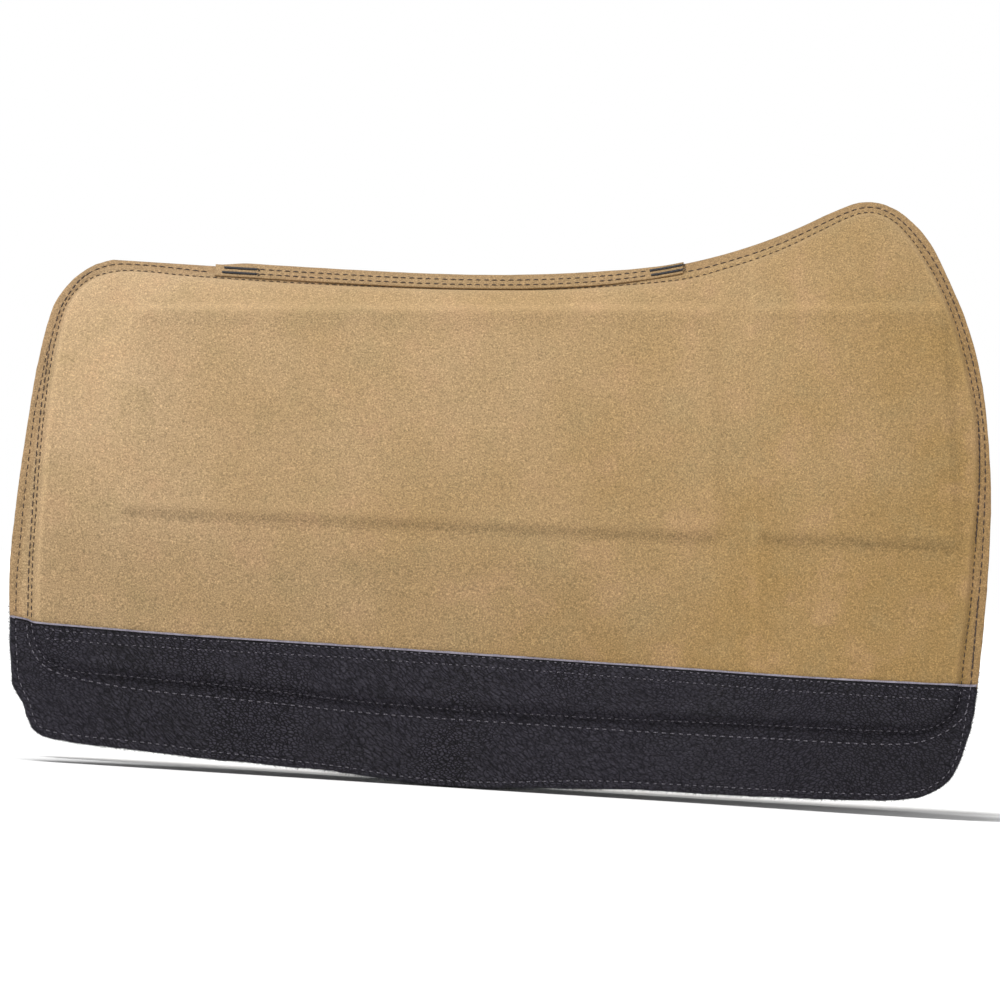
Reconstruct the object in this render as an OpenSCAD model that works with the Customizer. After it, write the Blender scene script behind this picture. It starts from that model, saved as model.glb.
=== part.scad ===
// Contoured western saddle pad, standing folded like a tent on its two lower edges.
// X runs along the spine with the withers (front) at +X, Y runs across, Z is up.
// The off side (the horse's right) is at -Y, and the near side is its mirror image.

/* [Overall size] */
// Length from the rear edge to the front edge
pad_length = 762; // [750:2:780]
// Height of the ridge along the rear
rear_height = 395; // [385:1:410]
// Rise of the ridge from the rear to the withers
withers_rise = 77; // [70:1:84]

/* [Drape] */
// Lean of each half away from upright, at the ridge
spine_angle = 50; // [40:1:55]
// Distance down the half over which that lean fades to a third
drape_settle = 100; // [80:5:120]
// Distance of each half's ridge edge from the middle
ridge_gap = 5; // [4:0.5:8]
// Sideways flare of each half at the withers notch
notch_flare = 26; // [20:1:30]

/* [Layers] */
// Thickness of the felt liner
felt_t = 12; // [8:0.5:14]
// Thickness of the foam cores
core_t = 7; // [5:0.5:8]
// Thickness of the foam shims
shim_t = 3.5; // [2:0.5:4]
// Thickness of the canvas cover
canvas_t = 1.2; // [1:0.1:1.5]
// Thickness of the wear leather
leather_t = 2.5; // [2:0.1:3]
// Clearance between one layer and the next
layer_gap = 0.1; // [0.1:0.05:0.2]

/* [Outline] */
// Width of the flange round the padding at the rear edge
rear_flange = 14; // [13:0.5:18]
// Width of the flange round the padding at the front edge
front_flange = 17; // [15:0.5:20]
// Height of the padding's lower edge above the pad's lower edge
padding_lift = 60; // [50:1:70]
// Width of the flange along the ridge
ridge_flange = 17; // [16:0.5:20]
// Height of the leather's top edge above the floor
leather_top = 105.4; // [95:0.2:115]

/* [Insert] */
// Slope of the spine, the shims and the channel against the leather's top edge, in degrees
insert_slope = 3.64; // [3:0.1:4]
// Width of the channel between the front and rear cores
channel_w = 25; // [15:1:30]

/* [Stitching] */
// Width of a thread row
thread_w = 0.8; // [0.6:0.1:1.2]
// Height of a thread row above what it is sewn on
thread_t = 0.6; // [0.4:0.1:1]
// Length of a bartack
bartack_l = 26; // [20:1:32]
// Width of a bartack
bartack_w = 3; // [2:0.5:4]

/* [Hidden] */

canvas_color = "#BD9F75";
leather_color = "#2A262B";
felt_color = "#34343A";
foam_color = "#D9D2B8";
shim_color = "#C4C8C0";
thread_color = "#211C1A";

// Levels of the layers, measured outwards from the horse side
canvas_o = felt_t + layer_gap;
core_o = canvas_o;
shim_o = core_o + core_t + layer_gap;
canvas_over_core_o = core_o + core_t + layer_gap;
canvas_over_shim_o = shim_o + shim_t + layer_gap;
leather_o = canvas_o + canvas_t + layer_gap;
leather_over_core_o = canvas_over_core_o + canvas_t + layer_gap;
wall_gap = 0.3;

// Places of the main features along X and Z
half_l = pad_length / 2;
withers_x = 264;
ridge_rise_from = -250;
ridge_rise_over = 500;
ridge_rise_power = 4.1;
notch_from = 120;
notch_over = 180;
strip_from = -237;
strip_to = 130;
strip_reach = 11;
strip_t = 1.3;
strip_crown = 1.2;
spine_row_a = 2.6;
spine_row_b = 7.6;
bartack_rear_in = 7;
bartack_front_in = 1;
row_clear = 3;
cover_inset = 1;
sky = 560;
deep = 260;

// Stations at which the drape bends, down the half and along it
drape_stations = [0, 14, 30, 50, 75, 108, 150, 205, 285, 400, 560];
length_stations = [
    -400, -250, -170, -100, -45, 0, 40, 75, 105, 132, 155, 178, 200, 222, 244, withers_x, 285, 310, 400
];

function smooth(t) = let (c = min(1, max(0, t))) c * c * (3 - 2 * c);
function total(v, n) = n <= 0 ? [0, 0] : v[n - 1] + total(v, n - 1);

// Outer edge of the ridge, as a height over X
function ridge(x) = rear_height + withers_rise
    * pow(max(0, min(x, withers_x) - ridge_rise_from) / ridge_rise_over, ridge_rise_power);

// Sideways shift of each half, which opens the notch over the withers
function flare(x) = notch_flare * smooth((x - notch_from) / notch_over);

// The drape's section is a chain of straight steps: [down, out] from the ridge edge
function lean(k) = spine_angle * exp(-(drape_stations[k] + drape_stations[k + 1]) / 2 / drape_settle);
leans = [for (k = [0 : len(drape_stations) - 2]) lean(k)];
steps = [
    for (k = [0 : len(leans) - 1])
        (drape_stations[k + 1] - drape_stations[k]) * [cos(leans[k]), sin(leans[k])]
];
joints = [for (k = [0 : len(steps)]) total(steps, k)];
function outward(k) = [-sin(leans[k]), cos(leans[k])];
function step_at(s) = max([for (k = [0 : len(steps) - 1]) if (drape_stations[k] <= s) k]);

// The section's point at distance s from the ridge edge and level o
function start_point(s, o) = let (k = step_at(s))
    joints[k] + (s - drape_stations[k]) * [cos(leans[k]), sin(leans[k])] + o * outward(k);
function joint_point(k, o) = k >= len(leans)
    ? joints[k] + o * outward(k - 1)
    : joints[k] + o * (outward(k - 1) + outward(k)) / (1 + outward(k - 1) * outward(k));
function section(s, o) = concat(
    [start_point(s, o)],
    [for (k = [step_at(s) + 1 : len(steps)]) joint_point(k, o)]
);

// The outer edge of the flange's canvas is what the ridge line gives, so the section hangs below it
ridge_drop = (canvas_o + canvas_t) * sin(leans[0]);
function on_half(x, p) = [x, -(ridge_gap + flare(x) + p[1]), ridge(x) - ridge_drop - p[0]];

// A closed loop of section points, swept along the half
module sweep(loop_points, stations) {
    n = len(loop_points);
    m = len(stations);
    points = [for (x = stations) for (p = loop_points) on_half(x, p)];
    sides = [
        for (i = [0 : m - 2]) for (k = [0 : n - 1])
            [i * n + k, i * n + (k + 1) % n, (i + 1) * n + (k + 1) % n, (i + 1) * n + k]
    ];
    rear_cap = [for (k = [n - 1 : -1 : 0]) k];
    front_cap = [for (k = [0 : n - 1]) (m - 1) * n + k];
    polyhedron(points, concat(sides, [rear_cap, front_cap]), convexity = 4);
}

// Stepped skins and stitch rows are flat-sided all over, so each one is settled as a single mesh
module settled() {
    resize([0, 0, 0]) children();
}

function reversed(v) = [for (k = [len(v) - 1 : -1 : 0]) v[k]];

// The draped layer between two levels, from a distance off the ridge down past the lower edge
module layer(from_ridge, low, high) {
    sweep(concat(section(from_ridge, low), reversed(section(from_ridge, high))), length_stations);
}

// Outline of the half seen from the side: two lower corners, the front curve, the rounded
// withers peak and the rounded rear corner. It runs above the ridge between those two.
belly_rear = -75;
belly_front = 45;
belly_stations = [-250, -160, -105, belly_rear, belly_front, 75, 120, 200, 270];
belly_power = 0.75;
belly_rear_rise = 14;
belly_rear_over = 249;
belly_front_rise = 12.4;
belly_front_over = 285;
rear_corner_in = 57;
rear_corner_r = [55, 80];
front_corner_in = 51;
front_corner_r = [48, 67];
rear_tip_r = [44, 66];
rear_tip_c = [-half_l + 59, rear_height - 65];
tip_shoulder = 85;
rear_edge = [[9, 300], [4.5, 240], [0, 150]];
peak_r = 50;
peak_c = [half_l - 108, rear_height + withers_rise - 44];
peak_from = 30;
peak_to = 112;
peak_shoulder = 150;
front_edge_heights = [215, 265, 305, 340, 370, 398, 422, 440];
front_bend_z = 225;
front_bend_over = 245;
front_bend_in = 72;
front_bend_power = 2.17;

function belly(x) = x < belly_rear
    ? belly_rear_rise * pow((belly_rear - x) / belly_rear_over, belly_power)
    : x > belly_front ? belly_front_rise * pow((x - belly_front) / belly_front_over, belly_power) : 0;
function front_in(z) = front_bend_in * pow(max(0, z - front_bend_z) / front_bend_over, front_bend_power);
function front_slope(z) = front_bend_in * front_bend_power / front_bend_over
    * pow(max(0, z - front_bend_z) / front_bend_over, front_bend_power - 1);
function front_edge(z, inset) = half_l - front_in(z) - inset * norm([1, front_slope(z)]);
function arc(c, rx, rz, from, to, n) = [
    for (k = [0 : n]) let (a = from + (to - from) * k / n) c + [rx * cos(a), rz * sin(a)]
];

// The pad's outline less a margin at the rear, at the front and along the bottom
function outline(rear, front, lift) = let (
    rear_x = -half_l + rear_corner_in,
    front_x = half_l - front_corner_in,
    rear_c = [rear_x, belly(rear_x) + rear_corner_r[1] + lift],
    front_c = [front_x, belly(front_x) + front_corner_r[1] + lift]
) concat(
    arc(rear_c, rear_corner_r[0] - rear, rear_corner_r[1], 180, 270, 7),
    [for (x = belly_stations) [x, belly(x) + lift]],
    arc(front_c, front_corner_r[0] - front, front_corner_r[1], -90, 0, 7),
    [for (z = front_edge_heights) [front_edge(z, front), z]],
    arc(peak_c, peak_r - front, peak_r - front, peak_from, peak_to, 7),
    [[half_l - peak_shoulder - 2 * front, sky], [-half_l + tip_shoulder, sky]],
    arc(rear_tip_c, rear_tip_r[0] - rear, rear_tip_r[1] - rear, 90, 180, 6),
    [for (p = rear_edge) [-half_l + p[0] + rear, p[1]]]
);

// Everything behind an outline, all through the half
module through(points) {
    rotate([90, 0, 0]) linear_extrude(height = deep) polygon(points);
}

// A piece of a layer, cut to the pad's outline less the given margins
module panel(rear, front, lift, from_ridge, low, high) {
    intersection() {
        layer(from_ridge, low, high);
        through(outline(rear, front, lift));
    }
}

// A narrow band along a panel's edge, as a row of stitches takes
module edge_band(rear, front, lift, from_ridge, low) {
    difference() {
        panel(rear, front, lift, from_ridge, low, low + thread_t);
        panel(
            rear + thread_w, front + thread_w, lift + thread_w, from_ridge + thread_w,
            low - 1, low + thread_t + 1
        );
    }
}

// A band at a constant distance from the ridge, between two places along the length
module ridge_band(from_ridge, width, x_from, x_to, low, high) {
    intersection() {
        difference() {
            layer(from_ridge, low, high);
            layer(from_ridge + width, low - 1, high + 1);
        }
        translate([x_from, -deep, 0]) cube([x_to - x_from, deep, sky]);
    }
}

module above(z) {
    intersection() {
        children();
        translate([-pad_length, -deep, z]) cube([2 * pad_length, deep, sky]);
    }
}

module below(z) {
    intersection() {
        children();
        translate([-pad_length, -deep, z - sky]) cube([2 * pad_length, deep, sky]);
    }
}

module near() {
    mirror([0, 1, 0]) children();
}

// The raised padding's outline, grown by a margin
module padding(grow, low, high) {
    panel(
        rear_flange - grow, front_flange - grow, padding_lift - grow, ridge_flange - grow, low, high
    );
}

// The channel's rear side and the shims' top and bottom edges, all set square to the spine
channel_at = [159, 416];
shim_top_at = [-295, 358];
shim_bottom_at = [-297, 199.5];
shim_bottom_rise = 0.022;
shim_rear_x = -296;
shim_front_x = [356, 336];
shim_clear = 6;
function channel_x(z) = channel_at[0] + (channel_at[1] - z) * tan(insert_slope);
function shim_top(x) = shim_top_at[1] + (x - shim_top_at[0]) * tan(insert_slope);
function shim_bottom(x) = shim_bottom_at[1] + (x - shim_bottom_at[0]) * shim_bottom_rise;
function shim_side(z, grow) = channel_x(z) - shim_clear + grow;

module rear_of_channel() {
    through([[-pad_length, 0], [channel_x(0), 0], [channel_x(sky), sky], [-pad_length, sky]]);
}

module front_of_channel() {
    through([
        [channel_x(0) + channel_w, 0], [pad_length, 0],
        [pad_length, sky], [channel_x(sky) + channel_w, sky]
    ]);
}

function rear_shim_outline(grow) = let (
    left = shim_rear_x - grow, low = shim_side(200, grow), high = shim_side(380, grow)
) [
    [left, shim_bottom(left) - grow], [low, shim_bottom(low) - grow],
    [high, shim_top(high) + grow], [left, shim_top(left) + grow]
];
function front_shim_outline(grow) = let (
    gap = channel_w + 2 * shim_clear, low = shim_side(200, -grow) + gap, high = shim_side(380, -grow) + gap
) [
    [low, shim_bottom(low) - grow], [shim_front_x[0] + grow, shim_bottom(shim_front_x[0]) - grow],
    [shim_front_x[1] + grow, shim_top(shim_front_x[1]) + grow], [high, shim_top(high) + grow]
];

module shim(outline_points, low, high) {
    intersection() {
        layer(ridge_flange, low, high);
        through(outline_points);
    }
}

module felt_liner() {
    color(felt_color) panel(0, 0, 0, 0, 0, felt_t);
}

module rear_core() {
    color(foam_color) intersection() {
        padding(0, core_o, core_o + core_t);
        rear_of_channel();
    }
}

module front_core() {
    color(foam_color) intersection() {
        padding(0, core_o, core_o + core_t);
        front_of_channel();
    }
}

module rear_shim() {
    color(shim_color) shim(rear_shim_outline(0), shim_o, shim_o + shim_t);
}

module front_shim() {
    color(shim_color) shim(front_shim_outline(0), shim_o, shim_o + shim_t);
}

// The canvas lies on the felt's flange, steps up over the padding and again over the shims
module canvas_cover() {
    skin = wall_gap + canvas_t;
    low = canvas_o + canvas_t / 2;
    mid = canvas_over_core_o + canvas_t / 2;
    color(canvas_color) settled() difference() {
        union() {
            panel(cover_inset, cover_inset, cover_inset, 0, canvas_o, canvas_o + canvas_t);
            padding(skin, low, canvas_over_core_o + canvas_t);
            shim(rear_shim_outline(skin), mid, canvas_over_shim_o + canvas_t);
            shim(front_shim_outline(skin), mid, canvas_over_shim_o + canvas_t);
        }
        padding(wall_gap, canvas_o - 1, canvas_over_core_o);
        shim(rear_shim_outline(wall_gap), canvas_over_core_o - 1, canvas_over_shim_o);
        shim(front_shim_outline(wall_gap), canvas_over_core_o - 1, canvas_over_shim_o);
    }
}

// The leather lies over the canvas along the bottom and steps up over the padding's lower edge
module wear_leather() {
    low = leather_o + leather_t / 2;
    color(leather_color) settled() below(leather_top) difference() {
        union() {
            panel(cover_inset, cover_inset, cover_inset, 0, leather_o, leather_o + leather_t);
            padding(leather_step, low, leather_over_core_o + leather_t);
        }
        padding(leather_step - leather_t, leather_o - 1, leather_over_core_o);
    }
}

// A contour row lies on the canvas above the leather, and on the leather below its top edge,
// where it steps up with the leather
outer_row = [8.5, 7.5, 47];
inner_row = [10.6, 10.8, 54];
hem_row = [4.5, 4.5, 6];
inner_row_from_ridge = 13;
hem_top = 325;
leather_rows_down = [2.7, 11.2];
leather_step = 2 * wall_gap + canvas_t + leather_t;

module row_on_canvas(row, from_ridge) {
    above(leather_top + 1) edge_band(row[0], row[1], row[2], from_ridge, canvas_o + canvas_t + layer_gap);
}

module row_on_leather(row, from_ridge) {
    low = leather_o + leather_t + layer_gap;
    high = leather_over_core_o + leather_t + layer_gap;
    below(leather_top - 1) {
        difference() {
            edge_band(row[0], row[1], row[2], from_ridge, low);
            padding(leather_step + wall_gap, 0, 2 * high);
        }
        intersection() {
            edge_band(row[0], row[1], row[2], from_ridge, high);
            padding(leather_step, 0, 2 * high);
        }
    }
}

module outer_seam() {
    from_ridge = spine_row_b + 1;
    color(thread_color) settled() difference() {
        union() {
            row_on_canvas(outer_row, from_ridge);
            row_on_leather(outer_row, from_ridge);
        }
        translate([strip_from - 1, -deep, ridge(0) - 60])
            cube([strip_to - strip_from + 2, deep, sky]);
    }
}

module inner_seam() {
    color(thread_color) settled() {
        row_on_canvas(inner_row, inner_row_from_ridge);
        row_on_leather(inner_row, inner_row_from_ridge);
    }
}

// The hem row runs down the rear, along the bottom and up the front as far as the contour rows
module hem_seam() {
    color(thread_color) settled() {
        below(hem_top) row_on_canvas(hem_row, hem_row[2]);
        row_on_leather(hem_row, hem_row[2]);
    }
}

// A straight row across the raised part of the leather
module leather_row(z) {
    high = leather_over_core_o + leather_t + layer_gap;
    intersection() {
        padding(0, high, high + thread_t);
        through([[-half_l, z], [half_l, z], [half_l, z + thread_w], [-half_l, z + thread_w]]);
    }
}

module leather_seams() {
    color(thread_color) settled() for (down = leather_rows_down) leather_row(leather_top - down);
}

// The strip over the ridge: up one slope, across the gap and down the other slope
module spine_strip() {
    low = canvas_o + canvas_t + wall_gap;
    high = low + strip_t;
    crown = [-strip_crown, -ridge_gap];
    stations = concat(
        [strip_from], [for (x = length_stations) if (x > strip_from && x < strip_to) x], [strip_to]
    );
    half_section = concat(
        [start_point(strip_reach, low)], [start_point(0, low)],
        [[start_point(0, low)[0] + crown[0], crown[1]]],
        [[start_point(0, high)[0] + crown[0], crown[1]]],
        [start_point(0, high)], [start_point(strip_reach, high)]
    );
    color(canvas_color) {
        sweep(reversed(half_section), stations);
        near() sweep(reversed(half_section), stations);
    }
}

on_strip = canvas_o + canvas_t + wall_gap + strip_t + wall_gap;

module spine_seams() {
    color(thread_color) settled() for (row = [spine_row_a, spine_row_b])
        ridge_band(
            row, thread_w, strip_from + bartack_rear_in + bartack_l + row_clear,
            strip_to - bartack_front_in - bartack_l - row_clear, on_strip, on_strip + thread_t
        );
}

module bartacks() {
    color(thread_color) settled() for (row = [spine_row_a, spine_row_b]) {
        middle = row + thread_w / 2 - bartack_w / 2;
        rear_x = strip_from + bartack_rear_in;
        front_x = strip_to - bartack_front_in;
        ridge_band(middle, bartack_w, rear_x, rear_x + bartack_l, on_strip, on_strip + thread_t);
        ridge_band(middle, bartack_w, front_x - bartack_l, front_x, on_strip, on_strip + thread_t);
    }
}

spine_strip();
felt_liner();  // off_felt_liner
rear_core();  // off_rear_core
front_core();  // off_front_core
rear_shim();  // off_rear_shim
front_shim();  // off_front_shim
canvas_cover();  // off_canvas_cover
wear_leather();  // off_wear_leather
outer_seam();  // off_outer_seam
inner_seam();  // off_inner_seam
hem_seam();  // off_hem_seam
leather_seams();  // off_leather_seams
spine_seams();  // off_spine_seams
bartacks();  // off_bartacks
near() felt_liner();  // near_felt_liner
near() rear_core();  // near_rear_core
near() front_core();  // near_front_core
near() rear_shim();  // near_rear_shim
near() front_shim();  // near_front_shim
near() canvas_cover();  // near_canvas_cover
near() wear_leather();  // near_wear_leather
near() outer_seam();  // near_outer_seam
near() inner_seam();  // near_inner_seam
near() hem_seam();  // near_hem_seam
near() leather_seams();  // near_leather_seams
near() spine_seams();  // near_spine_seams
near() bartacks();  // near_bartacks
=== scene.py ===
"""The visual model of a contoured western saddle pad, standing folded on its two lower edges."""

import logging
import math
from dataclasses import dataclass, field
from enum import Enum
from functools import cached_property
from typing import Callable, Optional, Sequence

import bpy
import numpy as np
from mathutils import Matrix, Vector


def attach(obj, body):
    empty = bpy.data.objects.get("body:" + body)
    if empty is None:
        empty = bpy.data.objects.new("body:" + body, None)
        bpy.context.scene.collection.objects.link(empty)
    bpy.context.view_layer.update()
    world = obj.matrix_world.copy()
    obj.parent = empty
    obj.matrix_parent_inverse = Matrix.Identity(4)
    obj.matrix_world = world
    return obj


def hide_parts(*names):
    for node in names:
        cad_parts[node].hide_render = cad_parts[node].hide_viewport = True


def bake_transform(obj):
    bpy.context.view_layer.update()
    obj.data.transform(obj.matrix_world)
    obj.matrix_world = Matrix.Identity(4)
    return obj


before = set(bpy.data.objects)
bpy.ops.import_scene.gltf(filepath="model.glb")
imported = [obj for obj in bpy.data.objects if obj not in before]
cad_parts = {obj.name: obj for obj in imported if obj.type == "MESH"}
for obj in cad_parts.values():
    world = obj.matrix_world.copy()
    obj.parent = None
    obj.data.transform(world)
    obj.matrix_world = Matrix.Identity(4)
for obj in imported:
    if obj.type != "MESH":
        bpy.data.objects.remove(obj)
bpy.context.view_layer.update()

LOG = logging.getLogger("saddle_pad")
MM = 0.001
Points = np.ndarray
NO_FACES = np.zeros((0, 4), int)


class Side(Enum):
    """The two halves: the off half lies at -Y and the near half at +Y."""

    OFF = -1
    NEAR = 1

    @property
    def body(self) -> str:
        """Name of the CAD body that this half is."""
        return "off_side" if self is Side.OFF else "near_side"

    @property
    def prefix(self) -> str:
        """First word of the names of this half's pieces."""
        return "off" if self is Side.OFF else "near"


# ---------------------------------------------------------------- number work


def smooth(t: np.ndarray) -> np.ndarray:
    """Smoothstep: 3t^2 - 2t^3 of t held between 0 and 1."""
    c = np.clip(t, 0.0, 1.0)
    return c * c * (3.0 - 2.0 * c)


def bell(d: np.ndarray, width: float) -> np.ndarray:
    """Bell curve: e to the power of minus d over width, squared."""
    return np.exp(-((d / width) ** 2))


def noise(x: np.ndarray, y: np.ndarray, size: float, seed: int, octaves: int = 1) -> np.ndarray:
    """Value noise from -1 to 1.

    Random heights stand on a square lattice of cells of the given size, and a point takes the
    four nearest, weighted by the smoothstep of its place in the cell. Each further octave has
    half the cell and half the height.

    Args:
        x: First coordinate of each point.
        y: Second coordinate of each point.
        size: Size of the largest cells.
        seed: Seed of the random heights.
        octaves: Number of octaves.

    Returns:
        The noise at each point.
    """
    lattice = np.random.default_rng(seed).uniform(-1.0, 1.0, (64, 64))
    total, height = np.zeros(np.broadcast(x, y).shape), 1.0
    for _ in range(octaves):
        a, b = x / size + 31.7, y / size + 17.3
        i, j = np.floor(a).astype(int), np.floor(b).astype(int)
        u, v = smooth(a - i), smooth(b - j)
        i0, j0, i1, j1 = i % 64, j % 64, (i + 1) % 64, (j + 1) % 64
        low = lattice[i0, j0] * (1 - u) + lattice[i1, j0] * u
        high = lattice[i0, j1] * (1 - u) + lattice[i1, j1] * u
        total += height * (low * (1 - v) + high * v)
        size, height = size / 2.0, height / 2.0
    return total


def unit(vectors: np.ndarray) -> np.ndarray:
    """Vectors over their length, with a length of nearly nothing held off zero."""
    return vectors / np.linalg.norm(vectors, axis=-1, keepdims=True).clip(1e-12)


def lengths(line: Points) -> np.ndarray:
    """Distance along a line at each of its points: the running sum of its steps."""
    return np.concatenate([[0.0], np.cumsum(np.linalg.norm(np.diff(line, axis=0), axis=1))])


def area(line: Points) -> float:
    """Area inside a closed line, by the shoelace sum."""
    x, s = line.T
    return 0.5 * abs(float(np.dot(x, np.roll(s, -1)) - np.dot(s, np.roll(x, -1))))


def even(points: Points, count: int, closed: bool = False) -> Points:
    """Points at even distances along a line.

    Args:
        points: The line's points, one a row.
        count: Number of points wanted.
        closed: Whether the line runs back to its first point.

    Returns:
        The points, found by linear interpolation over the length along the line.
    """
    line = np.vstack([points, points[:1]]) if closed else points
    length = lengths(line)
    at = np.linspace(0.0, length[-1], count, endpoint=not closed)
    return np.stack([np.interp(at, length, line[:, k]) for k in range(line.shape[1])], axis=1)


def curve(knots: Points, step: float = 1.5, closed: bool = True) -> Points:
    """A smooth line through a few knots: a centripetal Catmull-Rom curve, resampled evenly.

    Args:
        knots: The points that the line goes through, one a row.
        step: Distance between the points given back.
        closed: Whether the line runs back to its first knot.

    Returns:
        The line's points.
    """
    if closed:
        ring = np.vstack([knots[-1:], knots, knots[:2]])
    else:
        ring = np.vstack([2 * knots[:1] - knots[1:2], knots, 2 * knots[-1:] - knots[-2:-1]])
    p = [ring[k:len(ring) - 3 + k, None, :] for k in range(4)]
    gap = np.sqrt(np.linalg.norm(np.diff(ring, axis=0), axis=1)).clip(1e-4)
    t0 = np.zeros((len(ring) - 3, 1, 1))
    t1 = t0 + gap[:-2].reshape(-1, 1, 1)
    t2 = t1 + gap[1:-1].reshape(-1, 1, 1)
    t3 = t2 + gap[2:].reshape(-1, 1, 1)
    t = t1 + (t2 - t1) * np.linspace(0.0, 1.0, 24, endpoint=False).reshape(1, -1, 1)

    def between(a: Points, b: Points, ta: Points, tb: Points) -> Points:
        """Straight mix of two points at parameter t."""
        return ((tb - t) * a + (t - ta) * b) / (tb - ta)

    a1, a2, a3 = between(p[0], p[1], t0, t1), between(p[1], p[2], t1, t2), between(p[2], p[3], t2, t3)
    b1, b2 = between(a1, a2, t0, t2), between(a2, a3, t1, t3)
    dense = between(b1, b2, t1, t2).reshape(-1, knots.shape[1])
    if not closed:
        dense = np.vstack([dense, knots[-1:]])
    ends = np.vstack([dense, dense[:1]]) if closed else dense
    return even(dense, max(8, int(lengths(ends)[-1] / step)), closed)


# ---------------------------------------------------------------- the pad's shape


@dataclass(frozen=True)
class Drape:
    """How each half hangs from the ridge, in millimetres and degrees.

    A point of the pad is given by x along the ridge, by s, its distance down the half from the
    ridge edge, and by its level, outwards from the horse side.
    """

    rear_height: float = 395.0
    withers_rise: float = 77.0
    withers_x: float = 264.0
    rise_from: float = -250.0
    rise_over: float = 500.0
    rise_power: float = 4.1
    spine_angle: float = 50.0
    settle: float = 100.0
    ridge_gap: float = 5.0
    notch_flare: float = 26.0
    notch_from: float = 120.0
    notch_over: float = 180.0
    ridge_drop: float = 9.66

    @cached_property
    def table(self) -> tuple[np.ndarray, np.ndarray, np.ndarray, np.ndarray]:
        """Distance down the half, lean, and the way down and out: sums of cos and sin of the lean."""
        s = np.linspace(0.0, 620.0, 3101)
        lean = math.radians(self.spine_angle) * np.exp(-s / self.settle)
        half_step = (s[1] - s[0]) / 2
        down = np.concatenate([[0.0], np.cumsum((np.cos(lean)[1:] + np.cos(lean)[:-1]) * half_step)])
        out = np.concatenate([[0.0], np.cumsum((np.sin(lean)[1:] + np.sin(lean)[:-1]) * half_step)])
        return s, lean, down, out

    def ridge(self, x: np.ndarray) -> np.ndarray:
        """Height of the ridge: level at the rear, then rising as a power of x up to the withers."""
        rise = (np.minimum(x, self.withers_x) - self.rise_from).clip(0.0) / self.rise_over
        return self.rear_height + self.withers_rise * rise ** self.rise_power

    def flare(self, x: np.ndarray) -> np.ndarray:
        """Sideways shift of the half, a smoothstep along x that opens the notch at the withers."""
        return self.notch_flare * smooth((x - self.notch_from) / self.notch_over)

    def height(self, x: np.ndarray, s: np.ndarray, level: np.ndarray) -> np.ndarray:
        """Height over the floor: the ridge, less the way down, plus level times the lean's sine."""
        table_s, lean, down, _ = self.table
        tilt = np.interp(s, table_s, lean)
        return self.ridge(x) - self.ridge_drop - np.interp(s, table_s, down) + level * np.sin(tilt)

    def place(self, x: np.ndarray, s: np.ndarray, level: np.ndarray, side: Side) -> Points:
        """Points in the part's frame.

        The way out from the middle is the gap, the flare, the sum of the lean's sine and the level
        times the lean's cosine. The off half takes it along -Y, and the near half along +Y. No point
        goes under the floor.

        Args:
            x: Place along the ridge.
            s: Distance down the half.
            level: Distance outwards from the horse side.
            side: Which half.

        Returns:
            The points in metres, with one more axis than x.
        """
        table_s, lean, _, out = self.table
        tilt = np.interp(s, table_s, lean)
        away = self.ridge_gap + self.flare(x) + np.interp(s, table_s, out) + level * np.cos(tilt)
        return np.stack([x, side.value * away, self.height(x, s, level).clip(0.0)], axis=-1) * MM

    def reach(self, x: np.ndarray, z: np.ndarray, level: float) -> np.ndarray:
        """Distance down the half at which a level lies at height z, read back from the table."""
        table_s, lean, down, _ = self.table
        return np.interp(self.ridge(x) - self.ridge_drop - z, down - level * np.sin(lean), table_s)

    def flat(self, knots: Sequence[tuple[float, float]], level: float) -> Points:
        """Side-view points (x, z) laid out flat as (x, s)."""
        xz = np.array(knots, float)
        return np.stack([xz[:, 0], self.reach(xz[:, 0], xz[:, 1], level)], axis=1)


@dataclass(frozen=True)
class Levels:
    """Levels of the layers outwards from the horse side, in millimetres."""

    felt: float = 12.0
    core_low: float = 12.15
    canvas_flange: float = 13.3
    canvas_core: float = 20.4
    canvas_shim: float = 24.0
    canvas: float = 1.2
    leather: float = 2.5
    gap: float = 0.12
    strip: float = 1.3


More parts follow.
